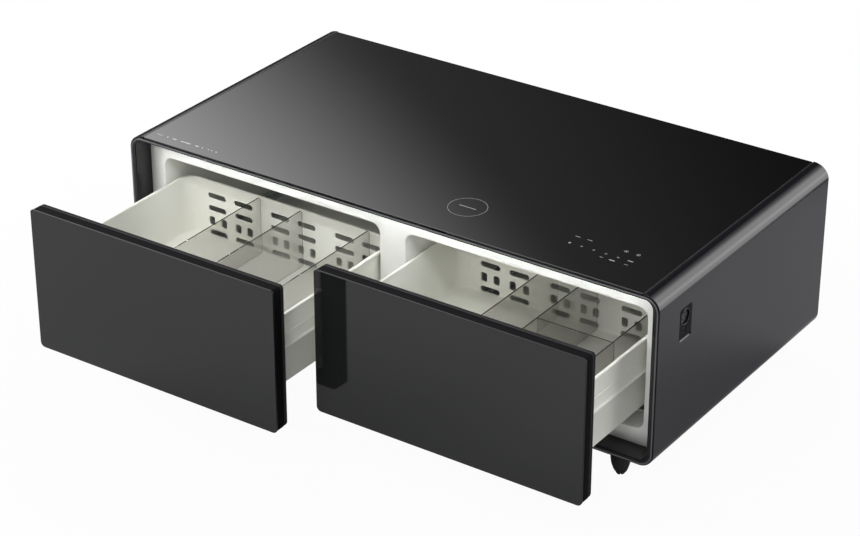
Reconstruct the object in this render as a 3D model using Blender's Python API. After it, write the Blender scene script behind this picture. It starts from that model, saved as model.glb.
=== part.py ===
"""Refrigerator coffee table: a low cabinet on four casters with a black glass top,
two cold compartments side by side and a deep drawer in each, both drawn out.

Metres, +Z up, the front faces -Y. The origin lies on the floor, under the middle of the
bounding box. Shapes are laid out in body coordinates, which start at the middle of the
cabinet's underside, and SHIFT carries them to their place in the world.
"""
from math import cos, pi, radians, sin

import bmesh
import bpy
from mathutils import Matrix, Vector

# Cabinet
WIDTH = 1.300
DEPTH = 0.700
BODY_HEIGHT = 0.378
CASTER_HEIGHT = 0.058
CORNER_RADIUS = 0.032
SIDE_WALL = 0.015
TOP_WALL = 0.012
INNER_RADIUS = 0.020
TRIM_THICKNESS = 0.0025
TRIM_INSET = 0.0025
TRIM_SIDE = 0.0105
TRIM_BOTTOM = 0.0075
TRIM_TOP = 0.0042
FIT_GAP = 0.0003
CLEAR = 0.010

# Glass top
GLASS_THICKNESS = 0.0047
GLASS_HALF_WIDTH = 0.613
GLASS_SET_BACK = 0.002
GLASS_GROUND_EDGE = 0.0008
RING_CENTRE = (0.1385, -0.2335)
COIL_RADIUS = 0.042
COIL_BORE = 0.012
COIL_THICKNESS = 0.006
TOUCH_CENTRE = (0.456, -0.242)
TOUCH_SIZE = (0.170, 0.070)
TOUCH_THICKNESS = 0.004
WINDOW_GAP = 0.002

# Outlet plate in the right wall, as Y and Z of its lower and upper corners
SOCKET_LOW = (-0.2655, 0.2465)
SOCKET_HIGH = (-0.2220, 0.3140)
SOCKET_RECESS = 0.0015
OUTLET_RADIUS = 0.0155
OUTLET_DROP = 0.021
OUTLET_DEPTH = 0.006
CHARGE_SLOT_HEIGHTS = (0.010, 0.020)
CHARGE_SLOT_WIDTH = 0.013
CHARGE_SLOT_HEIGHT = 0.005
CHARGE_SLOT_DEPTH = 0.008

# Mouths of the two compartments, cut in a flange set back behind the cabinet's front edge
FLANGE_DEPTH = 0.050
FLANGE_THICKNESS = 0.003
MOUTH_OFFSET = 0.315
MOUTH_HALF_WIDTH = 0.283
MOUTH_BOTTOM = 0.047
MOUTH_TOP = 0.317
MOUTH_RADIUS = 0.022
TUB_DEPTH = 0.429
TUB_WALL = 0.0025
LINER_GAP = 0.0005
FOAM_GAP = 0.0015
FOAM_TOP = 0.345
FOAM_BACK = 0.155

# Light bar under the mouth's upper lip
LED_LENGTH = 1.200
LED_SET_BACK = 0.012
LED_DEPTH = 0.010
LED_HEIGHT = 0.005

# Drawer fronts, and how far each stands out of the cabinet
PROUD = {"left": 0.340, "right": 0.222}
SIDES = {"left": -1, "right": 1}
FRONT_HALF_WIDTH = 0.3105
FRONT_MIDDLE = 0.315
FRONT_BOTTOM = 0.0255
FRONT_TOP = 0.345
FRONT_RADII = (0.011, 0.011, 0.005, 0.005)
FRONT_GLASS = 0.004
CORE_BACK = 0.026
PANEL_DEPTH = 0.0365
GASKET_GAP = 0.0005
GASKET_WIDTH = 0.036
GASKET_INSET = 0.001

# Drawer boxes
BOX_LENGTH = 0.421
BOX_INNER_HALF_WIDTH = 0.272
BOX_TOP = 0.252
BOX_FLOOR = 0.121
BOX_UNDERSIDE = 0.118
BOX_BOTTOM = 0.095
BOX_WALL = 0.003
BOX_CORNER = 0.028
RIM_OVERHANG = 0.0075
RIM_HEIGHT = 0.006
RIDGE = (0.172, 0.176)
RIDGE_OVERHANG = 0.0062

# Slots in a box's back wall: wide ones in rows, and a row of square ones in pairs
SLOT_COLUMNS = (-0.196, -0.125, -0.026, 0.045, 0.144, 0.213)
SLOT_ROWS = (0.2175, 0.187, 0.1292)
SLOT_WIDTH = 0.047
SLOT_HEIGHT = 0.0125
SQUARE_ROW = 0.157
SQUARE_SHIFT = 0.0155
SQUARE_WIDTH = 0.0145
SQUARE_HEIGHT = 0.0200

# Plates that divide a box, as distances from the drawer's middle plane
PARTITION = 0.003
GUARD_PLACE = {"left": 0.211, "right": 0.240}
GUARD_TOP = 0.258
DIVIDER_PLACES = {"left": (-0.075, 0.036), "right": (-0.030, 0.065)}
DIVIDER_TOP = 0.254
CROSS_DIVIDER_Y = 0.222

# Telescopic slides under the boxes
SLIDE_OFFSET = 0.250
SLIDE_LENGTH = 0.385
SLIDE_START = 0.0035
SLIDE_BOTTOM = 0.0885
SLIDE_HALF_WIDTH = 0.018
SLIDE_NOTCH_DEPTH = 0.060
SHEET = 0.0015

# Casters
CASTER_X = 0.5495
CASTER_Y = 0.300
CASTER_TRAIL = 0.016
CASTER_HEADINGS = {"front": radians(-55.0), "back": radians(90.0)}
WHEEL_RADIUS = 0.021
# radius and distance from the middle, from the hub to the groove between the two wheels
WHEEL_PROFILE = (
    (0.0100, 0.0100), (0.0160, 0.0092), (0.0195, 0.0066), (0.0210, 0.0022), (0.0185, 0.0008),
)
# height above the floor, half width and half length of the hood's outside
HOOD_SECTIONS = (
    (0.0140, 0.0146, 0.0250), (0.0200, 0.0170, 0.0254), (0.0280, 0.0193, 0.0257),
    (0.0370, 0.0205, 0.0258), (0.0530, 0.0215, 0.0260), (0.0545, 0.0207, 0.0252),
)
HOOD_WALL = 0.002
HOOD_CEILING = 0.044
PIVOT_BORE = 0.0055
PIVOT_RADIUS = 0.005
PIVOT_LENGTH = 0.013
AXLE_BORE = 0.0045
AXLE_RADIUS = 0.004
AXLE_REACH = 0.0164

# Machine room behind the compartments
BACK_PANEL_Y = 0.344
BACK_PANEL_THICKNESS = 0.0015
LOUVRE_FIELDS = (-0.300, 0.300)
LOUVRE_COUNT = 9
LOUVRE_START = 0.120
LOUVRE_PITCH = 0.022
LOUVRE_LENGTH = 0.220
LOUVRE_HEIGHT = 0.006
SCREW_COLUMNS = (-0.610, -0.305, 0.0, 0.305, 0.610)
SCREW_ROWS = (0.024, 0.354)
SCREW_RADIUS = 0.004
MACHINE_Y = 0.250
COMPRESSOR_X = 0.400
COMPRESSOR_RADIUS = 0.058
COMPRESSOR_HEIGHT = 0.135
BASE_HALF = (0.080, 0.062)
BASE_LIFT = 0.010
BASE_THICKNESS = 0.003
FOOT_PLACES = (0.062, 0.046)
CONDENSER = (-0.015, 0.105)
FIN_COUNT = 14
FIN_PITCH = 0.0062
FIN_THICKNESS = 0.0018
FIN_HEIGHT = 0.125
FIN_ROOT = 0.020
FAN_X = 0.190
FAN_HALF = 0.060
FAN_HALF_THICKNESS = 0.013
FAN_BORE = 0.056
BLADE_COUNT = 7
BLADE_PITCH = 0.5
CONTROL_UNIT = ((-0.380, 0.215), (-0.200, 0.325))
CONTROL_UNIT_TOP = 0.062

# Power inlet in the back panel
INLET_X = 0.520
INLET_Z = 0.062
INLET_COLLAR = (0.0175, 0.0135)
INLET_BODY = (0.0140, 0.0100)
INLET_RECESS = (0.0120, 0.0080)
INLET_DEPTH = 0.020
INLET_PINS = ((-0.007, -0.002), (0.0, 0.002), (0.007, -0.002))

# The part of a drawer's front that lies inside the cabinet when it is shut, and each drawer's travel
FRONT_RECESS = FLANGE_DEPTH - PANEL_DEPTH - GASKET_GAP
OUT = {side: PROUD[side] + FRONT_RECESS for side in SIDES}
SHIFT = Vector((0.0, PROUD["left"] / 2, CASTER_HEIGHT))
FRONT = -DEPTH / 2
BACK = DEPTH / 2
FLANGE = FRONT + FLANGE_DEPTH
TUB_BACK = FLANGE + TUB_DEPTH
GLASS_SEAT = BODY_HEIGHT - GLASS_THICKNESS - FIT_GAP
INNER_HALF_WIDTH = WIDTH / 2 - SIDE_WALL
INNER_TOP = BODY_HEIGHT - TOP_WALL
FLOOR = TOP_WALL + FIT_GAP


def linear(hex_colour):
    """Turns an sRGB colour such as #2b2b2d into linear values."""
    channels = [int(hex_colour[i:i + 2], 16) / 255 for i in (1, 3, 5)]
    return [c / 12.92 if c <= 0.04045 else ((c + 0.055) / 1.055) ** 2.4 for c in channels] + [1.0]


def material(name, hex_colour, roughness, metallic=0.0, alpha=1.0):
    """One Principled material, reused when its name is already there."""
    found = bpy.data.materials.get(name)
    if found:
        return found
    made = bpy.data.materials.new(name)
    made.use_nodes = True
    shader = made.node_tree.nodes["Principled BSDF"]
    shader.inputs["Base Color"].default_value = linear(hex_colour)
    shader.inputs["Roughness"].default_value = roughness
    shader.inputs["Metallic"].default_value = metallic
    shader.inputs["Alpha"].default_value = alpha
    made.diffuse_color = linear(hex_colour)
    return made


def add_object(name, bm, surface=None, origin=(0.0, 0.0, 0.0)):
    """Makes an object of a bmesh in body coordinates, with its origin on the given point."""
    bmesh.ops.translate(bm, vec=-Vector(origin), verts=bm.verts)
    bmesh.ops.recalc_face_normals(bm, faces=bm.faces)
    mesh = bpy.data.meshes.new(name)
    bm.to_mesh(mesh)
    bm.free()
    mesh.shade_smooth()
    mesh.set_sharp_from_angle(angle=0.6)
    made = bpy.data.objects.new(name, mesh)
    made.location = Vector(origin) + SHIFT
    if surface:
        mesh.materials.append(surface)
    bpy.context.scene.collection.objects.link(made)
    return made


def boolean(target, operation, name, bm):
    """Cuts or joins with a bmesh, kept in the scene as a wire guide."""
    guide = add_object(name, bm)
    guide.hide_render = True
    guide.display_type = "WIRE"
    modifier = target.modifiers.new(name, "BOOLEAN")
    modifier.operation = operation
    modifier.solver = "EXACT"
    modifier.object = guide


def arc(centre, radius, start, end, steps):
    """Points on an arc, angles in radians."""
    angles = [start + (end - start) * i / steps for i in range(steps + 1)]
    return [(centre[0] + radius * cos(a), centre[1] + radius * sin(a)) for a in angles]


def rounded_rectangle(low, high, radius, steps=6):
    """Outline that starts at the lower left corner and runs anticlockwise; one radius or four."""
    radii = radius if isinstance(radius, tuple) else (radius,) * 4
    corners = [
        (low[0] + radii[0], low[1] + radii[0]),
        (high[0] - radii[1], low[1] + radii[1]),
        (high[0] - radii[2], high[1] - radii[2]),
        (low[0] + radii[3], high[1] - radii[3]),
    ]
    outline = []
    for i, corner in enumerate(corners):
        start = pi + i * pi / 2
        outline += arc(corner, radii[i], start, start + pi / 2, steps)
    return outline


def rectangle(low, high):
    """Outline with four square corners."""
    return [(low[0], low[1]), (high[0], low[1]), (high[0], high[1]), (low[0], high[1])]


def on_axis(axis, p, q, t):
    """A point at t along the axis, with p and q on the two others in their order."""
    if axis == "X":
        return (t, p, q)
    if axis == "Y":
        return (p, t, q)
    return (p, q, t)


def loft(rings, bm=None):
    """Closed body through rings of equal count, capped at both ends."""
    bm = bm or bmesh.new()
    made = [[bm.verts.new(point) for point in ring] for ring in rings]
    for below, above in zip(made, made[1:]):
        for i in range(len(below)):
            j = (i + 1) % len(below)
            bm.faces.new((below[i], below[j], above[j], above[i]))
    bm.faces.new(list(reversed(made[0])))
    bm.faces.new(made[-1])
    return bm


def prism(outline, axis, low, high, bm=None):
    """An outline carried straight along an axis."""
    return loft([[on_axis(axis, p, q, t) for p, q in outline] for t in (low, high)], bm)


def block(low, high, bm=None):
    """A box between two corners."""
    return prism(rectangle(low[:2], high[:2]), "Z", low[2], high[2], bm)


def turned(profile, axis, centre, steps=32, bm=None):
    """A profile of radius and height turned round an axis; both of its ends lie on the axis."""
    bm = bm or bmesh.new()
    rings = []
    for radius, height in profile[1:-1]:
        ring = []
        for p, q in arc((0.0, 0.0), radius, 0.0, 2 * pi * (steps - 1) / steps, steps - 1):
            ring.append(bm.verts.new(Vector(on_axis(axis, p, q, height)) + Vector(centre)))
        rings.append(ring)
    ends = [bm.verts.new(Vector(on_axis(axis, 0.0, 0.0, profile[k][1])) + Vector(centre)) for k in (0, -1)]
    for i in range(steps):
        j = (i + 1) % steps
        bm.faces.new((ends[0], rings[0][j], rings[0][i]))
        for below, above in zip(rings, rings[1:]):
            bm.faces.new((below[i], below[j], above[j], above[i]))
        bm.faces.new((rings[-1][i], rings[-1][j], ends[1]))
    return bm


def cylinder(axis, centre, radius, low, high, steps=32, bm=None):
    """A plain round body."""
    return turned([(0.0, low), (radius, low), (radius, high), (0.0, high)], axis, centre, steps, bm)


def sleeve_outline(gap, top=INNER_TOP):
    """Outline of what fits in the sleeve with the given gap all round."""
    low = (-INNER_HALF_WIDTH + gap, TOP_WALL + gap)
    high = (INNER_HALF_WIDTH - gap, top - gap)
    return rounded_rectangle(low, high, INNER_RADIUS - gap, 8)


def build_shell():
    """Sleeve of coated sheet round the whole cabinet, with a seat for the glass."""
    steps = 10
    outline = rounded_rectangle((-WIDTH / 2, 0.0), (WIDTH / 2, BODY_HEIGHT), CORNER_RADIUS, steps)
    after_right_shoulder = 3 * (steps + 1)
    seat = [
        (GLASS_HALF_WIDTH + FIT_GAP, BODY_HEIGHT),
        (GLASS_HALF_WIDTH + FIT_GAP, GLASS_SEAT),
        (-GLASS_HALF_WIDTH - FIT_GAP, GLASS_SEAT),
        (-GLASS_HALF_WIDTH - FIT_GAP, BODY_HEIGHT),
    ]
    outline[after_right_shoulder:after_right_shoulder] = seat
    shell = add_object(
        "outer_shell",
        prism(outline, "Y", FRONT + TRIM_THICKNESS + FIT_GAP, BACK),
        material("coated_sheet", "#3a3a40", 0.42),
    )
    hollow = prism(sleeve_outline(0.0), "Y", FRONT - CLEAR, BACK + CLEAR)
    boolean(shell, "DIFFERENCE", "shell_hollow", hollow)
    low, high = INNER_TOP - CLEAR, BODY_HEIGHT + CLEAR
    round_window = cylinder("Z", (*RING_CENTRE, 0.0), COIL_RADIUS + WINDOW_GAP, low, high, 40)
    boolean(shell, "DIFFERENCE", "coil_window", round_window)
    half = [size / 2 + WINDOW_GAP for size in TOUCH_SIZE]
    near = (TOUCH_CENTRE[0] - half[0], TOUCH_CENTRE[1] - half[1], low)
    far = (TOUCH_CENTRE[0] + half[0], TOUCH_CENTRE[1] + half[1], high)
    boolean(shell, "DIFFERENCE", "touch_window", block(near, far))
    socket = rounded_rectangle(SOCKET_LOW, SOCKET_HIGH, 0.004, 4)
    hole = prism(socket, "X", INNER_HALF_WIDTH - CLEAR, WIDTH / 2 + CLEAR)
    boolean(shell, "DIFFERENCE", "socket_hole", hole)


def build_trim():
    """Thin frame round the front edge of the sleeve, a light bead in the photograph."""
    half = WIDTH / 2 - TRIM_INSET
    bottom, top = TRIM_INSET, GLASS_SEAT - FIT_GAP
    radius = CORNER_RADIUS - TRIM_INSET
    outer = rounded_rectangle((-half, bottom), (half, top), radius, 8)
    low = (-half + TRIM_SIDE, bottom + TRIM_BOTTOM)
    high = (half - TRIM_SIDE, top - TRIM_TOP)
    inner = rounded_rectangle(low, high, radius - TRIM_SIDE, 8)
    trim = add_object(
        "mouth_trim",
        prism(outer, "Y", FRONT, FRONT + TRIM_THICKNESS),
        material("trim_bead", "#6a6b6f", 0.35, 0.6),
    )
    boolean(trim, "DIFFERENCE", "trim_hollow", prism(inner, "Y", FRONT - CLEAR, FRONT + CLEAR))


def build_glass_top():
    """Black glass that lies in the sleeve's seat, flush with its shoulders."""
    outline = rounded_rectangle(
        (-GLASS_HALF_WIDTH, FRONT + GLASS_SET_BACK),
        (GLASS_HALF_WIDTH, BACK - GLASS_SET_BACK),
        0.004,
        4,
    )
    low = BODY_HEIGHT - GLASS_THICKNESS
    glass = add_object(
        "glass_top",
        prism(outline, "Z", low, BODY_HEIGHT),
        material("black_glass", "#0b0c0e", 0.06),
    )
    edge = glass.modifiers.new("ground_edge", "BEVEL")
    edge.width = GLASS_GROUND_EDGE
    edge.segments = 1
    edge.angle_limit = 1.0


def tub(side, grow, low, high):
    """One compartment's hollow as a prism, grown on all sides by a wall."""
    middle = SIDES[side] * MOUTH_OFFSET
    outline = rounded_rectangle(
        (middle - MOUTH_HALF_WIDTH - grow, MOUTH_BOTTOM - grow),
        (middle + MOUTH_HALF_WIDTH + grow, MOUTH_TOP + grow),
        MOUTH_RADIUS + grow,
        6,
    )
    return prism(outline, "Y", low, high)


def build_liner():
    """White moulded liner: the flange round both mouths and the two compartments behind it."""
    liner = add_object(
        "liner",
        prism(sleeve_outline(LINER_GAP), "Y", FLANGE, FLANGE + FLANGE_THICKNESS),
        material("white_liner", "#e4e6dc", 0.38),
    )
    for side in SIDES:
        solid = tub(side, TUB_WALL, FLANGE + FLANGE_THICKNESS / 2, TUB_BACK + TUB_WALL)
        boolean(liner, "UNION", side + "_tub", solid)
        hollow = tub(side, 0.0, FLANGE - CLEAR, TUB_BACK)
        boolean(liner, "DIFFERENCE", side + "_tub_hollow", hollow)


def build_foam():
    """Rigid foam between the liner and the sleeve."""
    outline = sleeve_outline(FOAM_GAP, FOAM_TOP + FOAM_GAP)
    foam = add_object(
        "foam_body",
        prism(outline, "Y", FLANGE + FLANGE_THICKNESS + LINER_GAP, FOAM_BACK),
        material("rigid_foam", "#d8cfa8", 0.9),
    )
    for side in SIDES:
        cut = tub(side, TUB_WALL + LINER_GAP, FLANGE, TUB_BACK + TUB_WALL + LINER_GAP)
        boolean(foam, "DIFFERENCE", side + "_foam_hollow", cut)


def build_led_strip():
    """Light bar under the upper lip of the mouth, ahead of the flange."""
    top = INNER_TOP - FIT_GAP
    low = (-LED_LENGTH / 2, FRONT + LED_SET_BACK, top - LED_HEIGHT)
    high = (LED_LENGTH / 2, FRONT + LED_SET_BACK + LED_DEPTH, top)
    add_object("led_strip", block(low, high), material("led_diffuser", "#f6f8f2", 0.5))


def build_electronics():
    """The charging coil and the touch board, both bonded under the glass, and the control unit."""
    centre = (*RING_CENTRE, 0.0)
    disc = cylinder("Z", centre, COIL_RADIUS, GLASS_SEAT - COIL_THICKNESS, GLASS_SEAT, 40)
    coil = add_object("charging_coil", disc, material("copper_winding", "#a8642f", 0.35, 1.0))
    bore = cylinder("Z", centre, COIL_BORE, GLASS_SEAT - CLEAR, GLASS_SEAT + CLEAR, 24)
    boolean(coil, "DIFFERENCE", "coil_bore", bore)
    half = [size / 2 for size in TOUCH_SIZE]
    low = (TOUCH_CENTRE[0] - half[0], TOUCH_CENTRE[1] - half[1], GLASS_SEAT - TOUCH_THICKNESS)
    high = (TOUCH_CENTRE[0] + half[0], TOUCH_CENTRE[1] + half[1], GLASS_SEAT)
    add_object("touch_board", block(low, high), material("circuit_board", "#1f5a35", 0.5))
    near, far = CONTROL_UNIT
    unit = block((*near, FLOOR), (*far, CONTROL_UNIT_TOP))
    add_object("control_unit", unit, material("grey_housing", "#4c4f52", 0.55))


def build_socket_panel():
    """Black plate in the right wall with a round mains outlet and two charging slots."""
    low = (SOCKET_LOW[0] + FIT_GAP, SOCKET_LOW[1] + FIT_GAP)
    high = (SOCKET_HIGH[0] - FIT_GAP, SOCKET_HIGH[1] - FIT_GAP)
    face = WIDTH / 2 - SOCKET_RECESS
    plate = prism(rounded_rectangle(low, high, 0.0037, 4), "X", INNER_HALF_WIDTH, face)
    panel = add_object("socket_panel", plate, material("socket_plastic", "#141416", 0.4))
    middle = (low[0] + high[0]) / 2
    centre = (0.0, middle, high[1] - OUTLET_DROP)
    outlet = cylinder("X", centre, OUTLET_RADIUS, face - OUTLET_DEPTH, face + CLEAR, 28)
    boolean(panel, "DIFFERENCE", "outlet_recess", outlet)
    slots = bmesh.new()
    half = (CHARGE_SLOT_WIDTH / 2, CHARGE_SLOT_HEIGHT / 2)
    for height in CHARGE_SLOT_HEIGHTS:
        z = low[1] + height
        outline = rectangle((middle - half[0], z - half[1]), (middle + half[0], z + half[1]))
        prism(outline, "X", face - CHARGE_SLOT_DEPTH, face + CLEAR, slots)
    boolean(panel, "DIFFERENCE", "charging_slots", slots)


def centred(centre, half):
    """Rectangle with half sizes round a centre."""
    low = (centre[0] - half[0], centre[1] - half[1])
    high = (centre[0] + half[0], centre[1] + half[1])
    return rectangle(low, high)


def build_back():
    """Steel back panel with two fields of louvres, its screw heads and the inlet's hole."""
    face = BACK_PANEL_Y + BACK_PANEL_THICKNESS
    through = (BACK_PANEL_Y - CLEAR, face + CLEAR)
    panel = add_object(
        "back_panel",
        prism(sleeve_outline(FIT_GAP), "Y", BACK_PANEL_Y, face),
        material("painted_steel", "#2c2d30", 0.5),
    )
    louvres = bmesh.new()
    for middle in LOUVRE_FIELDS:
        for row in range(LOUVRE_COUNT):
            centre = (middle, LOUVRE_START + row * LOUVRE_PITCH)
            outline = centred(centre, (LOUVRE_LENGTH / 2, LOUVRE_HEIGHT / 2))
            prism(outline, "Y", *through, louvres)
    boolean(panel, "DIFFERENCE", "louvre_slots", louvres)
    hole = centred((INLET_X, INLET_Z), [size + FIT_GAP for size in INLET_BODY])
    boolean(panel, "DIFFERENCE", "inlet_hole", prism(hole, "Y", *through))
    screws = bmesh.new()
    for x in SCREW_COLUMNS:
        for z in SCREW_ROWS:
            cylinder("Y", (x, 0.0, z), SCREW_RADIUS, face - 0.001, face + 0.002, 12, screws)
    boolean(panel, "UNION", "screw_heads", screws)


def build_inlet():
    """Power inlet: a collar on the panel, a body behind it and three pins in a recess."""
    centre = (INLET_X, INLET_Z)
    start = BACK_PANEL_Y + BACK_PANEL_THICKNESS + FIT_GAP
    collar = prism(centred(centre, INLET_COLLAR), "Y", start, start + 0.0025)
    inlet = add_object("power_inlet", collar, material("inlet_plastic", "#101012", 0.45))
    body = prism(centred(centre, INLET_BODY), "Y", BACK_PANEL_Y - INLET_DEPTH, start + 0.001)
    boolean(inlet, "UNION", "inlet_body", body)
    bottom = BACK_PANEL_Y - INLET_DEPTH + 0.004
    recess = prism(centred(centre, INLET_RECESS), "Y", bottom, start + CLEAR)
    boolean(inlet, "DIFFERENCE", "inlet_recess", recess)
    pins = bmesh.new()
    for dx, dz in INLET_PINS:
        blade = centred((INLET_X + dx, INLET_Z + dz), (0.001, 0.002))
        prism(blade, "Y", bottom - 0.001, BACK_PANEL_Y - 0.002, pins)
    boolean(inlet, "UNION", "inlet_pins", pins)


def build_compressor():
    """Compressor: an enamelled steel dome on a zinc-plated base with four rubber feet."""
    low = FLOOR + BASE_LIFT
    near = (COMPRESSOR_X - BASE_HALF[0], MACHINE_Y - BASE_HALF[1], low)
    far = (COMPRESSOR_X + BASE_HALF[0], MACHINE_Y + BASE_HALF[1], low + BASE_THICKNESS)
    base = add_object("compressor_base", block(near, far), material("zinc_plate", "#a2a5a8", 0.4, 1.0))
    feet = bmesh.new()
    for dx in (-FOOT_PLACES[0], FOOT_PLACES[0]):
        for dy in (-FOOT_PLACES[1], FOOT_PLACES[1]):
            centre = (COMPRESSOR_X + dx, MACHINE_Y + dy, 0.0)
            cylinder("Z", centre, 0.010, FLOOR, low + BASE_THICKNESS / 2, 16, feet)
    boolean(base, "UNION", "rubber_feet", feet)

    bottom = low + BASE_THICKNESS + FIT_GAP
    shape = [(0.0, 0.0), (0.78, 0.0), (0.97, 0.10), (1.0, 0.44)]
    shape += [(1.0, 0.63), (0.90, 0.83), (0.59, 0.96), (0.0, 1.0)]
    profile = [(r * COMPRESSOR_RADIUS, bottom + h * COMPRESSOR_HEIGHT) for r, h in shape]
    dome = turned(profile, "Z", (COMPRESSOR_X, MACHINE_Y, 0.0), 32)
    add_object("compressor", dome, material("black_enamel", "#151617", 0.35))


def build_condenser():
    """Condenser: a row of aluminium fins on a common root."""
    depth = (FIN_COUNT - 1) * FIN_PITCH + FIN_THICKNESS
    comb = []
    for i in range(FIN_COUNT):
        start = -depth / 2 + i * FIN_PITCH
        comb += [(start, FIN_HEIGHT), (start + FIN_THICKNESS, FIN_HEIGHT)]
        if i < FIN_COUNT - 1:
            comb += [(start + FIN_THICKNESS, FIN_ROOT), (start + FIN_PITCH, FIN_ROOT)]
    comb += [(depth / 2, 0.0), (-depth / 2, 0.0)]
    outline = [(MACHINE_Y + p, FLOOR + q) for p, q in comb]
    fins = prism(outline, "X", *CONDENSER)
    add_object("condenser", fins, material("aluminium_fins", "#b9bcbe", 0.35, 1.0))


def build_fan():
    """Fan: a square plastic frame with a round duct, and the rotor in it."""
    hub = (FAN_X, MACHINE_Y, FLOOR + FAN_HALF + 0.001)
    near = (MACHINE_Y - FAN_HALF, FLOOR)
    far = (MACHINE_Y + FAN_HALF, FLOOR + 2 * FAN_HALF)
    square = rounded_rectangle(near, far, 0.006, 3)
    frame = add_object(
        "fan_frame",
        prism(square, "X", FAN_X - FAN_HALF_THICKNESS, FAN_X + FAN_HALF_THICKNESS),
        material("fan_plastic", "#1a1b1c", 0.5),
    )
    duct = cylinder("X", (0.0, *hub[1:]), FAN_BORE, FAN_X - 0.008, FAN_X + 0.02, 32)
    boolean(frame, "DIFFERENCE", "fan_bore", duct)
    build_fan_openings(frame, hub)
    build_rotor(hub)


def build_fan_openings(frame, hub):
    """Air openings in the frame's back wall, eight sectors round the motor seat."""
    sectors = bmesh.new()
    for turn in range(8):
        start = turn * pi / 4 + 0.10
        end = (turn + 1) * pi / 4 - 0.10
        outline = arc(hub[1:], 0.052, start, end, 4) + arc(hub[1:], 0.022, end, start, 2)
        prism(outline, "X", FAN_X - 0.02, FAN_X - 0.006, sectors)
    boolean(frame, "DIFFERENCE", "fan_sectors", sectors)


def build_rotor(hub):
    """Fan rotor: a hub and seven pitched blades, on the fan's axis."""
    profile = [(0.0, -0.007), (0.018, -0.007), (0.018, 0.009), (0.0, 0.009)]
    rotor = add_object(
        "fan_rotor",
        turned(profile, "X", hub, 28),
        material("rotor_plastic", "#222426", 0.45),
        hub,
    )
    blades = bmesh.new()
    for turn in range(BLADE_COUNT):
        start = len(blades.verts)
        low = (hub[0] - 0.0008, hub[1] - 0.011, hub[2] + 0.016)
        high = (hub[0] + 0.0008, hub[1] + 0.011, hub[2] + 0.053)
        block(low, high, blades)
        blades.verts.ensure_lookup_table()
        fresh = blades.verts[start:]
        bmesh.ops.rotate(blades, cent=hub, matrix=Matrix.Rotation(BLADE_PITCH, 3, "Z"), verts=fresh)
        spin = Matrix.Rotation(turn * 2 * pi / BLADE_COUNT, 3, "X")
        bmesh.ops.rotate(blades, cent=hub, matrix=spin, verts=fresh)
    boolean(rotor, "UNION", "fan_blades", blades)


def drawer_front(side):
    """Y of the front face of a drawer, as it stands in the photograph."""
    return FRONT - PROUD[side]


def build_drawer_panel(side):
    """Drawer front: a dark glass, its core, a white inner panel and the magnetic gasket round it."""
    y = drawer_front(side)
    middle = SIDES[side] * FRONT_MIDDLE
    origin = (middle, y, (FRONT_BOTTOM + FRONT_TOP) / 2)

    def frame_outline(inset, radius):
        low = (middle - FRONT_HALF_WIDTH + inset, FRONT_BOTTOM + inset)
        high = (middle + FRONT_HALF_WIDTH - inset, FRONT_TOP - inset)
        return rounded_rectangle(low, high, radius, 6)

    add_object(
        side + "_front_glass",
        prism(frame_outline(0.0, FRONT_RADII), "Y", y, y + FRONT_GLASS),
        material("drawer_glass", "#17181a", 0.08),
        origin,
    )
    add_object(
        side + "_front_core",
        prism(frame_outline(0.0006, FRONT_RADII), "Y", y + FRONT_GLASS + FIT_GAP, y + CORE_BACK),
        material("core_frame", "#202124", 0.4),
        origin,
    )
    start = y + CORE_BACK + FIT_GAP
    inner_inset = GASKET_INSET + GASKET_WIDTH + LINER_GAP
    add_object(
        side + "_inner_panel",
        prism(frame_outline(inner_inset, 0.008), "Y", start, y + PANEL_DEPTH),
        material("white_liner", "#e4e6dc", 0.38),
        origin,
    )
    gasket = add_object(
        side + "_gasket",
        prism(frame_outline(GASKET_INSET, FRONT_RADII), "Y", start, y + PANEL_DEPTH),
        material("gasket_rubber", "#1b1b1c", 0.7),
        origin,
    )
    inner = frame_outline(GASKET_INSET + GASKET_WIDTH, 0.0085)
    hollow = prism(inner, "Y", start - CLEAR, y + PANEL_DEPTH + CLEAR)
    boolean(gasket, "DIFFERENCE", side + "_gasket_hollow", hollow)
    return origin


def box_plan(side, front, grow):
    """A drawer box seen from above: square front corners and round back corners."""
    middle = SIDES[side] * MOUTH_OFFSET
    half = BOX_INNER_HALF_WIDTH + grow
    back = front + BOX_LENGTH - BOX_WALL + grow
    radius = BOX_CORNER + grow
    inner_front = front if grow > 0.0 else front + BOX_WALL
    right = arc((middle + half - radius, back - radius), radius, 0.0, pi / 2, 7)
    left = arc((middle - half + radius, back - radius), radius, pi / 2, pi, 7)
    return [(middle - half, inner_front), (middle + half, inner_front)] + right + left


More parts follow.
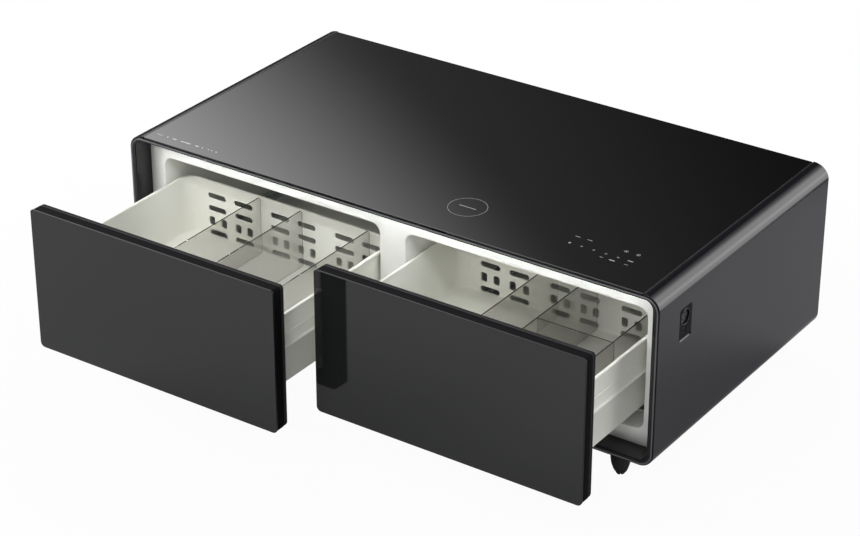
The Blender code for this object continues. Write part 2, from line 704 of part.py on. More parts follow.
def build_drawer_box(side, origin):
    """White moulded box: a lipped rim, a ridge half way down and a skirt, notched for the slides."""
    front = drawer_front(side) + PANEL_DEPTH + FIT_GAP
    sections = [
        (BOX_FLOOR, -0.001),
        (BOX_FLOOR + 0.040, -0.0006),
        (BOX_TOP, 0.0),
        (BOX_TOP, RIM_OVERHANG),
        (BOX_TOP - RIM_HEIGHT, RIM_OVERHANG),
        (BOX_TOP - RIM_HEIGHT - 0.001, 0.0032),
        (RIDGE[1] + 0.005, 0.0032),
        (RIDGE[1], RIDGE_OVERHANG),
        (RIDGE[0], RIDGE_OVERHANG),
        (RIDGE[0] - 0.004, 0.0024),
        (BOX_BOTTOM, 0.0016),
        (BOX_BOTTOM, -0.0014),
        (BOX_UNDERSIDE, -0.0014),
    ]
    rings = [[(x, y, z) for x, y in box_plan(side, front, grow)] for z, grow in sections]
    white = material("white_box", "#eceee6", 0.35)
    box = add_object(side + "_drawer_box", loft(rings), white, origin)
    middle = SIDES[side] * MOUTH_OFFSET
    back = front + BOX_LENGTH
    boolean(box, "DIFFERENCE", side + "_box_slots", box_slots(middle, back))
    notches = bmesh.new()
    for sign in SIDES.values():
        x = middle + sign * SLIDE_OFFSET
        half = SLIDE_HALF_WIDTH + SHEET
        low = (x - half, back - SLIDE_NOTCH_DEPTH, BOX_BOTTOM - CLEAR)
        high = (x + half, back + CLEAR, BOX_UNDERSIDE + LINER_GAP)
        block(low, high, notches)
    boolean(box, "DIFFERENCE", side + "_slide_notches", notches)


def box_slots(middle, back):
    """Cutters for the slots in a box's back wall."""
    slots = bmesh.new()
    reach = (back - BOX_CORNER, back + CLEAR)
    for column in SLOT_COLUMNS:
        x = middle + column
        for z in SLOT_ROWS:
            low = (x - SLOT_WIDTH / 2, z - SLOT_HEIGHT / 2)
            high = (x + SLOT_WIDTH / 2, z + SLOT_HEIGHT / 2)
            prism(rounded_rectangle(low, high, 0.0050, 2), "Y", *reach, slots)
        for shift in (-SQUARE_SHIFT, SQUARE_SHIFT):
            low = (x + shift - SQUARE_WIDTH / 2, SQUARE_ROW - SQUARE_HEIGHT / 2)
            high = (x + shift + SQUARE_WIDTH / 2, SQUARE_ROW + SQUARE_HEIGHT / 2)
            prism(rounded_rectangle(low, high, 0.0040, 1), "Y", *reach, slots)
    return slots


def build_partitions(side, origin):
    """Smoked plates that stand on the box's floor: the side guard, two dividers and a cross piece."""
    smoked = material("smoked_acrylic", "#4a4842", 0.08, 0.0, 0.45)
    middle = SIDES[side] * MOUTH_OFFSET
    front = drawer_front(side) + PANEL_DEPTH + FIT_GAP + BOX_WALL + 0.0006
    back = drawer_front(side) + PANEL_DEPTH + FIT_GAP + BOX_LENGTH - BOX_WALL - 0.0030
    floor = BOX_FLOOR + FIT_GAP
    half = PARTITION / 2

    def plate(name, place, top):
        low = (middle + place - half, front, floor)
        high = (middle + place + half, back, top)
        add_object(name, block(low, high), smoked, origin)

    plate(side + "_guard", GUARD_PLACE[side], GUARD_TOP)
    for number, place in enumerate(DIVIDER_PLACES[side], 1):
        plate(side + "_divider_" + str(number), place, DIVIDER_TOP)
    if side == "right":
        y = drawer_front(side) + CROSS_DIVIDER_Y
        low = (middle + DIVIDER_PLACES[side][1] + half + FIT_GAP, y - half, floor)
        high = (middle + GUARD_PLACE[side] - half - FIT_GAP, y + half, DIVIDER_TOP)
        add_object("right_cross_divider", block(low, high), smoked, origin)


def channel(z, up, height):
    """Section of a channel of sheet whose lips turn in, on a base line and open towards up."""
    half = SLIDE_HALF_WIDTH
    inner = half - SHEET
    lip = half - 0.005
    return [
        (half, z), (half, z + up * height), (lip, z + up * height), (lip, z + up * (height - SHEET)),
        (inner, z + up * (height - SHEET)), (inner, z + up * SHEET), (-inner, z + up * SHEET),
        (-inner, z + up * (height - SHEET)), (-lip, z + up * (height - SHEET)),
        (-lip, z + up * height), (-half, z + up * height), (-half, z),
    ]


def fixed_member():
    """Section of the fixed channel, with a foot that bends down along the compartment's wall."""
    z = SLIDE_BOTTOM
    foot = z - 0.0225
    reach = MOUTH_HALF_WIDTH - SLIDE_OFFSET - 0.0004
    bracket = [(reach - SHEET, z), (reach - SHEET, foot), (reach, foot), (reach, z + SHEET)]
    section = channel(z, 1, 0.0090)
    return section[-1:] + bracket + [(SLIDE_HALF_WIDTH, z + SHEET)] + section[1:-1]


def middle_member():
    """Section of the middle rail, an I that both channels grip."""
    low = SLIDE_BOTTOM + 0.0030
    high = low + 0.0230
    flange = 0.0150
    web = 0.0040
    right = [
        (flange, low), (flange, low + SHEET), (web, low + SHEET),
        (web, high - SHEET), (flange, high - SHEET), (flange, high),
    ]
    return right + [(-p, q) for p, q in reversed(right)]


def drawer_member():
    """Section of the channel under the box, open downwards."""
    return channel(BOX_UNDERSIDE - FIT_GAP, -1, 0.0092)


def build_slides(side):
    """Two full-extension slides for one drawer, each of three steel members."""
    steel = material("zinc_slide", "#a9adb1", 0.32, 1.0)
    closed = FLANGE + SLIDE_START
    members = (
        ("fixed", fixed_member(), 0.0),
        ("middle", middle_member(), 0.5),
        ("drawer", drawer_member(), 1.0),
    )
    for hand, sign in SIDES.items():
        x = SIDES[side] * MOUTH_OFFSET + sign * SLIDE_OFFSET
        for kind, section, share in members:
            start = closed - share * OUT[side]
            outline = [(x + sign * p, q) for p, q in section]
            origin = (x, start, SLIDE_BOTTOM)
            name = side + "_slide_" + hand + "_" + kind
            add_object(name, prism(outline, "Y", start, start + SLIDE_LENGTH), steel, origin)


def build_casters():
    """Four hooded twin-wheel casters: a mount, a hood that swivels and a pair of wheels."""
    for row, y in (("front", -CASTER_Y), ("back", CASTER_Y)):
        for hand, sign in SIDES.items():
            pivot = Vector((sign * CASTER_X, y, 0.0))
            name = "caster_" + row + "_" + hand
            build_mount(name + "_mount", pivot)
            build_hood(name + "_hood", pivot, CASTER_HEADINGS[row])
            build_wheels(name + "_wheels", pivot, CASTER_HEADINGS[row])


def build_mount(name, pivot):
    """Zinc plate under the cabinet with the pivot pin that the hood turns on."""
    plate_bottom = -0.003
    profile = [
        (0.0, -FIT_GAP), (0.021, -FIT_GAP), (0.021, plate_bottom),
        (PIVOT_RADIUS, plate_bottom), (PIVOT_RADIUS, -PIVOT_LENGTH), (0.0, -PIVOT_LENGTH),
    ]
    zinc = material("caster_zinc", "#7d8083", 0.4, 1.0)
    add_object(name, turned(profile, "Z", pivot, 24), zinc, pivot)


def swung(bm, pivot, heading):
    """Turns a body built with its trail along +Y to a caster's heading."""
    turn = Matrix.Rotation(heading - pi / 2, 3, "Z")
    bmesh.ops.rotate(bm, cent=pivot, matrix=turn, verts=bm.verts)
    return bm


def bell(axle, sections, wall):
    """A body with oval sections round the wheels, drawn in by the wall."""
    rings = []
    for height, half_width, half_length in sections:
        ring = []
        for p, q in arc((0.0, 0.0), 1.0, 0.0, 2 * pi * 19 / 20, 19):
            x = axle.x + p * (half_width - wall)
            y = axle.y + q * (half_length - wall)
            ring.append((x, y, height - CASTER_HEIGHT))
        rings.append(ring)
    return loft(rings)


def build_hood(name, pivot, heading):
    """Hood: a bell over both wheels, bored for the pivot pin above and for the axle on both sides."""
    axle = pivot + Vector((0.0, CASTER_TRAIL, WHEEL_RADIUS - CASTER_HEIGHT))
    dark = material("caster_nylon", "#121213", 0.45)
    hood = add_object(name, swung(bell(axle, HOOD_SECTIONS, 0.0), pivot, heading), dark, pivot)
    mouth = (HOOD_SECTIONS[0][0] - CLEAR, *HOOD_SECTIONS[0][1:])
    ceiling = (HOOD_CEILING, *HOOD_SECTIONS[3][1:])
    cavity = bell(axle, (mouth, *HOOD_SECTIONS[:4], ceiling), HOOD_WALL)
    boolean(hood, "DIFFERENCE", name + "_cavity", swung(cavity, pivot, heading))
    bore = cylinder("Z", pivot, PIVOT_BORE, HOOD_CEILING - CASTER_HEIGHT - 0.002, CLEAR, 20)
    boolean(hood, "DIFFERENCE", name + "_bore", bore)
    reach = HOOD_SECTIONS[-1][1]
    axle_hole = cylinder("X", axle, AXLE_BORE, -reach, reach, 20)
    boolean(hood, "DIFFERENCE", name + "_axle_hole", swung(axle_hole, pivot, heading))


def build_wheels(name, pivot, heading):
    """Two wheels with round treads, one on each side of a groove, and the axle through them."""
    axle = pivot + Vector((0.0, CASTER_TRAIL, WHEEL_RADIUS - CASTER_HEIGHT))
    end = [(0.0, AXLE_REACH), (AXLE_RADIUS, AXLE_REACH), (AXLE_RADIUS, WHEEL_PROFILE[0][1])]
    half = end + list(WHEEL_PROFILE)
    profile = half + [(radius, -reach) for radius, reach in reversed(half)]
    tread = material("caster_tread", "#1c1c1e", 0.6)
    wheels = swung(turned(profile, "X", axle, 20), pivot, heading)
    centre = pivot + Matrix.Rotation(heading - pi / 2, 3, "Z") @ (axle - pivot)
    add_object(name, wheels, tread, centre)


def main():
    """Clears the scene and builds every sub-part."""
    for old in list(bpy.data.objects):
        bpy.data.objects.remove(old, do_unlink=True)
    build_shell()
    build_trim()
    build_glass_top()
    build_liner()
    build_foam()
    build_led_strip()
    build_electronics()
    build_socket_panel()
    build_back()
    build_inlet()
    build_compressor()
    build_condenser()
    build_fan()
    for side in SIDES:
        origin = build_drawer_panel(side)
        build_drawer_box(side, origin)
        build_partitions(side, origin)
        build_slides(side)
    build_casters()


main()
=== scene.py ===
"""Looks of the refrigerator coffee table: camera, studio and the finish of every piece.

Metres, +Z up, the drawers face -Y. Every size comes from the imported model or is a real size.
"""
from math import cos, pi, radians, sin

import bmesh
import bpy
from mathutils import Matrix, Vector


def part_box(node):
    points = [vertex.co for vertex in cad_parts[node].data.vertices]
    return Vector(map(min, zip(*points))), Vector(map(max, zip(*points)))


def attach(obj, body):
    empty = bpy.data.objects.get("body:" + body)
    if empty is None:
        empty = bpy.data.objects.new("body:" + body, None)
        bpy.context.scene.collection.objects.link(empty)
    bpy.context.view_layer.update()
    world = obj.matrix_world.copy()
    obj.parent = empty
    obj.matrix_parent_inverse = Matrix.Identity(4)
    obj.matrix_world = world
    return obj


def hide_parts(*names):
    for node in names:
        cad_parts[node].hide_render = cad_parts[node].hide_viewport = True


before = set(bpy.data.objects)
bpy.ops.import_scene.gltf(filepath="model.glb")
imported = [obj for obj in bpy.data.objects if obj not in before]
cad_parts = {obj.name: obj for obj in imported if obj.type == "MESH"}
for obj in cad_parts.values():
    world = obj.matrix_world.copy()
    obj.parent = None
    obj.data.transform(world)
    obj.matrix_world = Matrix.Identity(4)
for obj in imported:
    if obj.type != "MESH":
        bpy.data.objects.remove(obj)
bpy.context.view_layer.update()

# Camera: a long lens, a little above the table and off its right front corner, as in the photograph.
CAMERA_PLACE = (2.696, -3.9111, 2.754)
CAMERA_AZIMUTH = 34.55
CAMERA_ELEVATION = 28.0
LENS_MM = 107.86
SENSOR_MM = 36.0

lens = bpy.data.cameras.new("camera")
lens.lens = LENS_MM
lens.sensor_width = SENSOR_MM
camera = bpy.data.objects.new("camera", lens)
camera.location = CAMERA_PLACE
camera.rotation_euler = (radians(90 - CAMERA_ELEVATION), 0.0, radians(CAMERA_AZIMUTH))
bpy.context.scene.collection.objects.link(camera)
bpy.context.scene.camera = camera
bpy.context.scene.view_settings.view_transform = "Standard"


# Studio: a white sheet on the floor before a white background. The world holds the soft boxes: one
# above the front, one behind on the left that shades off over the glass top, a rising row of three
# behind on the right that the shoulder mirrors, and a broad low one in front.
def add_node(owner, kind, settings=None, links=None):
    """Adds a node; settings fill its properties or sockets, links join outputs to its sockets."""
    made = owner.node_tree.nodes.new(kind)
    for key, value in (settings or {}).items():
        if hasattr(made, str(key)):
            setattr(made, key, value)
        else:
            made.inputs[key].default_value = value
    for key, output in (links or {}).items():
        owner.node_tree.links.new(output, made.inputs[key])
    return made


def join(owner, output, node, socket):
    """Joins an output to a socket of a node that is there from the start."""
    owner.node_tree.links.new(output, owner.node_tree.nodes[node].inputs[socket])


def colour(code):
    """An sRGB hex colour as linear red, green, blue and alpha."""
    channels = [int(code[i:i + 2], 16) / 255 for i in (1, 3, 5)]
    return [c / 12.92 if c <= 0.04045 else ((c + 0.055) / 1.055) ** 2.4 for c in channels] + [1.0]


SOFT_BOXES = (
    # direction to the middle, half angle of the edge's outer and inner side, brightness
    ((0.08, -0.62, 0.78), 50.0, 20.0, 1.20),
    ((-0.654, 0.368, 0.660), 27.8, 17.0, 4.4),
    ((-0.654, 0.368, 0.660), 33.5, 25.0, 0.16),
    ((0.667, 0.735, 0.02), 24.0, 6.0, 2.8),
    ((0.53, 0.727, 0.44), 26.0, 8.0, 2.6),
    ((0.32, 0.74, 0.60), 24.0, 6.0, 1.0),
    ((-0.05, -0.92, 0.38), 60.0, 20.0, 0.95),
)
BACKDROP_BRIGHTNESS = 0.04

world = bpy.data.worlds.new("studio")
world.use_nodes = True
bpy.context.scene.world = world
direction = add_node(world, "ShaderNodeTexCoord")
total = None
for middle, outer, inner, brightness in SOFT_BOXES:
    facing = add_node(
        world,
        "ShaderNodeVectorMath",
        {"operation": "DOT_PRODUCT", 1: Vector(middle).normalized()},
        {0: direction.outputs["Generated"]},
    )
    lobe = add_node(
        world,
        "ShaderNodeMapRange",
        {
            "interpolation_type": "SMOOTHSTEP",
            "From Min": cos(radians(outer)),
            "From Max": cos(radians(inner)),
            "To Max": brightness,
        },
        {"Value": facing.outputs["Value"]},
    )
    settings = {"operation": "ADD"}
    links = {0: lobe.outputs["Result"]}
    if total:
        links[1] = total.outputs["Value"]
    else:
        settings[1] = BACKDROP_BRIGHTNESS
    total = add_node(world, "ShaderNodeMath", settings, links)
# The camera sees plain white, also through the smoked plates. All other rays see the soft boxes.
path = add_node(world, "ShaderNodeLightPath")
seen = add_node(
    world,
    "ShaderNodeMath",
    {"operation": "MAXIMUM"},
    {0: path.outputs["Is Camera Ray"], 1: path.outputs["Is Transmission Ray"]},
)
boxes = add_node(
    world, "ShaderNodeBackground", {"Color": colour("#ffffff")}, {"Strength": total.outputs["Value"]}
)
white = add_node(world, "ShaderNodeBackground", {"Color": colour("#ffffff"), "Strength": 1.0})
mixed = add_node(
    world,
    "ShaderNodeMixShader",
    {},
    {0: seen.outputs["Value"], 1: boxes.outputs["Background"], 2: white.outputs["Background"]},
)
join(world, mixed.outputs["Shader"], "World Output", "Surface")


def surface(name, code, **sockets):
    """A material of one Principled shader, with its plain values set on the shader's sockets."""
    made = bpy.data.materials.new(name)
    made.use_nodes = True
    inputs = made.node_tree.nodes["Principled BSDF"].inputs
    inputs["Base Color"].default_value = colour(code)
    for socket, value in sockets.items():
        inputs[socket.replace("_", " ")].default_value = value
    return made


# Matt paper: no gloss, only the table's soft shadow. Its whiteness for the camera rises from the
# table outwards, so that its rim can't be seen. On the right it greys: painted shade on the floor,
# which keeps the sleeve's reflection of it dark.
FLOOR_RADIUS = 1.7
FLOOR_DROP = 0.0005
WHITER_FROM = 0.9
WHITE_FROM = 1.6
NEAR_WHITENESS = 0.96
GREYER_FROM = 0.35
GREY_FROM = 0.75
PAPER_LEFT = "#cacaca"
PAPER_PAINTED_SHADE = "#b4b4b8"

floor_mesh = bmesh.new()
bmesh.ops.create_circle(floor_mesh, cap_ends=True, segments=96, radius=FLOOR_RADIUS)
mesh = bpy.data.meshes.new("studio_floor")
floor_mesh.to_mesh(mesh)
floor_mesh.free()
studio_floor = bpy.data.objects.new("studio_floor", mesh)
studio_floor.location = (0.0, 0.0, -FLOOR_DROP)
bpy.context.scene.collection.objects.link(studio_floor)
paper = surface("white_paper", PAPER_LEFT, Roughness=0.9)
place = add_node(paper, "ShaderNodeTexCoord")
distance = add_node(
    paper, "ShaderNodeVectorMath", {"operation": "LENGTH"}, {0: place.outputs["Object"]}
)
across = add_node(paper, "ShaderNodeSeparateXYZ", {}, {"Vector": place.outputs["Object"]})
# Painted shade: the paper greys towards the right, from GREYER_FROM to GREY_FROM across.
painted_shade_share = add_node(
    paper,
    "ShaderNodeMapRange",
    {"From Min": GREYER_FROM, "From Max": GREY_FROM},
    {"Value": across.outputs["X"]},
)
shade = add_node(
    paper,
    "ShaderNodeMix",
    {"data_type": "RGBA", "A": colour(PAPER_LEFT), "B": colour(PAPER_PAINTED_SHADE)},
    {"Factor": painted_shade_share.outputs["Result"]},
)
join(paper, shade.outputs["Result"], "Principled BSDF", "Base Color")
whiteness = add_node(
    paper,
    "ShaderNodeMapRange",
    {"From Min": WHITER_FROM, "From Max": WHITE_FROM, "To Min": NEAR_WHITENESS},
    {"Value": distance.outputs["Value"]},
)
path = add_node(paper, "ShaderNodeLightPath")
share = add_node(
    paper,
    "ShaderNodeMath",
    {"operation": "MULTIPLY"},
    {0: path.outputs["Is Camera Ray"], 1: whiteness.outputs["Result"]},
)
glow = add_node(paper, "ShaderNodeEmission", {"Color": colour("#ffffff"), "Strength": 1.0})
lit = paper.node_tree.nodes["Principled BSDF"].outputs["BSDF"]
blend = add_node(
    paper,
    "ShaderNodeMixShader",
    {},
    {0: share.outputs["Value"], 1: lit, 2: glow.outputs["Emission"]},
)
join(paper, blend.outputs["Shader"], "Material Output", "Surface")
mesh.materials.append(paper)


# Sleeve: one skin of steel sheet, folded round the whole cabinet with 32 mm shoulders, filled with
# foam and powder coated in a satin black. The glass lies in a seat between its shoulders.
def arc(centre, radius, start, end, steps):
    """Points on an arc, its angles in radians."""
    turns = [start + (end - start) * i / steps for i in range(steps + 1)]
    return [(centre[0] + radius * cos(t), centre[1] + radius * sin(t)) for t in turns]


def rounded(low, high, radius, steps=12):
    """Outline of a rectangle with round corners (one radius or four), from the lower left."""
    radii = radius if isinstance(radius, tuple) else (radius,) * 4
    middles = (
        (low[0] + radii[0], low[1] + radii[0]),
        (high[0] - radii[1], low[1] + radii[1]),
        (high[0] - radii[2], high[1] - radii[2]),
        (low[0] + radii[3], high[1] - radii[3]),
    )
    outline = []
    for i, middle in enumerate(middles):
        outline += arc(middle, radii[i], pi + i * pi / 2, pi * 1.5 + i * pi / 2, steps)
    return outline


def ring(axis, outline, t):
    """An outline of points set square to an axis, at t along it."""
    if axis == "X":
        return [(t, p, q) for p, q in outline]
    if axis == "Y":
        return [(p, t, q) for p, q in outline]
    return [(p, q, t) for p, q in outline]


def loft(rings, ends="cap", bm=None):
    """Skin through rings of equal count, with its ends capped, left open or joined to each other."""
    bm = bm or bmesh.new()
    made = [[bm.verts.new(point) for point in points] for points in rings]
    pairs = list(zip(made, made[1:]))
    if ends == "wrap":
        pairs.append((made[-1], made[0]))
    for first, second in pairs:
        for i in range(len(first)):
            j = (i + 1) % len(first)
            bm.faces.new((first[i], first[j], second[j], second[i]))
    if ends == "cap":
        bm.faces.new(list(reversed(made[0])))
        bm.faces.new(made[-1])
    return bm


def prism(axis, outline, low, high, bm=None):
    """An outline carried straight from low to high."""
    return loft([ring(axis, outline, low), ring(axis, outline, high)], "cap", bm)


def scratch_object(bm):
    """A bmesh as an object for the length of a cut."""
    bmesh.ops.recalc_face_normals(bm, faces=bm.faces)
    made = bpy.data.meshes.new("scratch")
    bm.to_mesh(made)
    bm.free()
    holder = bpy.data.objects.new("scratch", made)
    bpy.context.scene.collection.objects.link(holder)
    return holder


def carve(solid, cutters, operation="DIFFERENCE"):
    """A solid less some cutters, or joined with them, as one new bmesh."""
    body = scratch_object(solid)
    tools = [scratch_object(cutter) for cutter in cutters]
    for tool in tools:
        cut = body.modifiers.new("cut", "BOOLEAN")
        cut.operation = operation
        cut.solver = "EXACT"
        cut.object = tool
    done = body.evaluated_get(bpy.context.evaluated_depsgraph_get())
    result = bmesh.new()
    result.from_mesh(done.to_mesh())
    done.to_mesh_clear()
    for holder in [body] + tools:
        bpy.data.objects.remove(holder, do_unlink=True)
    return result


SHARP_ANGLE = 34.0


def round_off(item, width, steps, angle):
    """Rounds the edges of an object that are sharper than an angle in degrees."""
    bevel = item.modifiers.new("round_edges", "BEVEL")
    bevel.width = width
    bevel.segments = steps
    bevel.limit_method = "ANGLE"
    bevel.angle_limit = radians(angle)
    return bevel


def piece(name, bm, finish, body, replaced=(), edge=0.0, steps=2):
    """Makes a piece, with its sharp edges rounded, that rides on a body in place of CAD nodes."""
    bmesh.ops.recalc_face_normals(bm, faces=bm.faces)
    made = bpy.data.meshes.new(name)
    bm.to_mesh(made)
    bm.free()
    made.shade_smooth()
    made.set_sharp_from_angle(angle=radians(SHARP_ANGLE))
    made.materials.append(finish)
    item = bpy.data.objects.new(name, made)
    bpy.context.scene.collection.objects.link(item)
    if edge:
        round_off(item, edge, steps, SHARP_ANGLE).harden_normals = True
    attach(item, body)
    if replaced:
        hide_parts(*replaced)
    return item


def uneven(made, size, gloss=None, detail=2.0):
    """A noise with patches of one size, by which a surface's roughness may vary."""
    place = add_node(made, "ShaderNodeTexCoord")
    noise = add_node(
        made,
        "ShaderNodeTexNoise",
        {"Scale": 1.0 / size, "Detail": detail},
        {"Vector": place.outputs["Object"]},
    )
    if gloss:
        varied = add_node(
            made,
            "ShaderNodeMapRange",
            {"To Min": gloss[0], "To Max": gloss[1]},
            {"Value": noise.outputs["Fac"]},
        )
        join(made, varied.outputs["Result"], "Principled BSDF", "Roughness")
    return noise


# Grains finer than a millimetre don't show in the render. Those of moulded, plated and printed
# surfaces are drawn 0.8 to 1.5 mm across, instead of the real 0.1 to 0.5 mm.
def grained(name, code, size, depth, gloss=None, **sockets):
    """A surface with an even relief: its grain's size, its depth, and its range of roughness."""
    made = surface(name, code, **sockets)
    grain = uneven(made, size, gloss)
    bump = add_node(made, "ShaderNodeBump", {"Distance": depth}, {"Height": grain.outputs["Fac"]})
    join(made, bump.outputs["Normal"], "Principled BSDF", "Normal")
    return made


SHOULDER = 0.032
SHOULDER_STEPS = 24
SIDE_WALL = 0.015
TOP_WALL = 0.012
INNER_RADIUS = 0.020
SEAT_GAP = 0.0003
CLEAR = 0.010
WINDOW_RADIUS = 0.004
WINDOW_STEPS = (
    # distance from the side's face and growth of the outlet's window, whose edge is chamfered
    (-SIDE_WALL - CLEAR, 0.0), (-0.0022, 0.0), (0.0004, 0.0027),
)

# Powder coat on steel: a satin black with orange peel 2 mm across, coarser than the real 1 mm.
powder_coat = grained(
    "powder_coated_steel", "#0d0c12", 0.002, 0.000006, (0.18, 0.22), Roughness=0.20, IOR=1.5
)

low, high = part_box("outer_shell")
glass_low, glass_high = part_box("glass_top")
socket_low, socket_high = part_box("socket_panel")
outline = rounded((low.x, low.z), (high.x, high.z), SHOULDER, SHOULDER_STEPS)
seat = glass_high.x + SEAT_GAP
seat_floor = glass_low.z - SEAT_GAP
# Both shoulders begin to bend right beside the glass.
spread = (high.x - seat) / SHOULDER
corner = SHOULDER_STEPS + 1
for i in range(2 * corner, 4 * corner):
    p, q = outline[i]
    p_new = seat + (abs(p) - high.x + SHOULDER) * spread
    outline[i] = (p_new if p > 0 else -p_new, q)
outline[3 * corner:3 * corner] = [(seat, high.z), (seat, seat_floor), (-seat, seat_floor), (-seat, high.z)]
hollow = rounded(
    (low.x + SIDE_WALL, low.z + TOP_WALL), (high.x - SIDE_WALL, high.z - TOP_WALL), INNER_RADIUS
)
window = []
for step, growth in WINDOW_STEPS:
    gap = SEAT_GAP + growth
    corners = (socket_low.y - gap, socket_low.z - gap), (socket_high.y + gap, socket_high.z + gap)
    window.append(ring("X", rounded(*corners, WINDOW_RADIUS + growth, 6), high.x + step))
sleeve = carve(
    prism("Y", outline, low.y, high.y),
    [prism("Y", hollow, low.y - CLEAR, high.y + CLEAR), loft(window)],
)
piece("sleeve", sleeve, powder_coat, "cabinet", ["outer_shell"], edge=0.0005)


# Edge trim: an ABS carrier pushed on the sleeve's front edge, with a 3 mm bead of dark anodised
# aluminium let into it. The bead is the light line round the front.
TRIM_WIDTHS = (0.0105, 0.0075, 0.0042)
TRIM_OUTER_RADIUS = SHOULDER - 0.0025
TRIM_INNER_RADIUS = SHOULDER - 0.013
TRIM_STEPS = 16
CARRIER_PROFILE = (
    # share of the way from the outer to the inner edge, depth behind the trim's front
    (0.0, 0.0014), (0.06, 0.0009), (0.50, 0.0009), (0.92, 0.0013), (1.0, 0.0019),
)
BEAD_MIDDLE = 0.0019
BEAD_HALF = 0.0016
BEAD_RISE = 0.0007
BEAD_FOOT = 0.0014

low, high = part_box("mouth_trim")
outer = rounded((low.x, low.z), (high.x, high.z), TRIM_OUTER_RADIUS, TRIM_STEPS)
inner = rounded(
    (low.x + TRIM_WIDTHS[0], low.z + TRIM_WIDTHS[1]),
    (high.x - TRIM_WIDTHS[0], high.z - TRIM_WIDTHS[2]),
    TRIM_INNER_RADIUS,
    TRIM_STEPS,
)


def between(share):
    """The outline at a share of the way from the trim's outer edge to its inner edge."""
    return [(a[0] + (b[0] - a[0]) * share, a[1] + (b[1] - a[1]) * share) for a, b in zip(outer, inner)]


# Moulded ABS: black with a low sheen.
black_abs = grained("black_abs", "#161618", 0.0012, 0.00001, Roughness=0.35, IOR=1.54)
depth = high.y - low.y
profile = ((0.0, depth), *CARRIER_PROFILE, (1.0, depth))
rings = [ring("Y", between(share), low.y + back) for share, back in profile]
piece("trim_carrier", loft(rings, "wrap"), black_abs, "cabinet", ["mouth_trim"])

# Aluminium, blasted and dark anodised: a soft metallic line.
anodised = grained(
    "dark_anodised_aluminium", "#85878b", 0.0015, 0.00001, (0.28, 0.40), Roughness=0.32, Metallic=1.0
)
turns = [i * pi / 6 for i in range(7)]
profile = [(BEAD_MIDDLE - BEAD_HALF * cos(t), BEAD_RISE - BEAD_RISE * sin(t)) for t in turns]
profile = [(profile[0][0], BEAD_FOOT)] + profile + [(profile[-1][0], BEAD_FOOT)]
rings = []
for gap, back in profile:
    corners = (low.x + gap, low.z + gap), (high.x - gap, high.z - gap)
    rings.append(ring("Y", rounded(*corners, TRIM_OUTER_RADIUS - gap, TRIM_STEPS), low.y + back))
piece("trim_bead", loft(rings, "wrap"), anodised, "cabinet", [])


# Liner: white polystyrene sheet, vacuum formed in one piece. Its flange frames both mouths, whose
# edges turn inwards in a soft roll, and the two compartments reach back from it.
MOUTH_HALF = 0.283
MOUTH_OFFSET = 0.315
MOUTH_RADIUS = 0.022
LEAST_RADIUS = 0.006
MOUTH_SILL = 0.0335
MOUTH_HEIGHT = 0.270
LINER_SHEET = 0.0025
LIP = 0.0025
LIP_STEPS = 6
FLOOR_ROUND = 0.012
FLOOR_STEPS = 4

low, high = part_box("liner")
mouth_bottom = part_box("foam_body")[0].z + MOUTH_SILL
mouth_top = mouth_bottom + MOUTH_HEIGHT
flange_y = low.y
tub_back = high.y - LINER_SHEET


def mouth(middle, grow):
    """Outline of one mouth, grown on all sides."""
    return rounded(
        (middle - MOUTH_HALF - grow, mouth_bottom - grow),
        (middle + MOUTH_HALF + grow, mouth_top + grow),
        max(MOUTH_RADIUS + grow, LEAST_RADIUS),
        10,
    )


# Vacuum-formed polystyrene: a soft gloss with a slight, wide unevenness from the forming.
formed_styrene = grained(
    "vacuum_formed_polystyrene", "#f3f3ee", 0.012, 0.00004, (0.30, 0.40), Roughness=0.34, IOR=1.59
)

liner = bmesh.new()
flange = rounded((low.x, low.z), (high.x, high.z), INNER_RADIUS, 12)
loops = [[liner.verts.new(point) for point in ring("Y", flange, flange_y)]]
for middle in (-MOUTH_OFFSET, MOUTH_OFFSET):
    rings = []
    for i in range(LIP_STEPS + 1):
        turn = i * pi / (2 * LIP_STEPS)
        back = flange_y + LIP * (1 - cos(turn))
        rings.append(ring("Y", mouth(middle, LIP * (1 - sin(turn))), back))
    for i in range(FLOOR_STEPS + 1):
        turn = i * pi / (2 * FLOOR_STEPS)
        back = tub_back - FLOOR_ROUND * (1 - sin(turn))
        rings.append(ring("Y", mouth(middle, -FLOOR_ROUND * (1 - cos(turn))), back))
    start = len(liner.verts)
    loft(rings, "open", liner)
    liner.verts.ensure_lookup_table()
    count = len(rings[0])
    loops.append(liner.verts[start:start + count])
    liner.faces.new(liner.verts[len(liner.verts) - count:])
edges = []
for loop in loops:
    for a, b in zip(loop, list(loop[1:]) + [loop[0]]):
        edges.append(liner.edges.get((a, b)) or liner.edges.new((a, b)))
bmesh.ops.triangle_fill(liner, use_beauty=True, edges=edges, normal=(0.0, -1.0, 0.0))
liner_piece = piece("liner_sheet", liner, formed_styrene, "cabinet", ["liner"])
face = min(liner_piece.data.polygons, key=lambda polygon: polygon.center.y)
thickness = liner_piece.modifiers.new("sheet", "SOLIDIFY")
thickness.thickness = LINER_SHEET
thickness.offset = -1.0 if face.normal.y < 0 else 1.0

# Polyurethane foam, blown in place between liner and sleeve: dull pale yellow, cells of 2 mm.
foam = surface("polyurethane_foam", "#d9cfa6", Roughness=0.9)
place = add_node(foam, "ShaderNodeTexCoord")
cells = add_node(foam, "ShaderNodeTexVoronoi", {"Scale": 1.0 / 0.002}, {"Vector": place.outputs["Object"]})
bump = add_node(foam, "ShaderNodeBump", {"Distance": 0.0004}, {"Height": cells.outputs["Distance"]})
join(foam, bump.outputs["Normal"], "Principled BSDF", "Normal")


def finish_node(node, made):
    """Gives a CAD node that keeps its shape its material."""
    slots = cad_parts[node].data.materials
    slots.clear()
    slots.append(made)


finish_node("foam_body", foam)


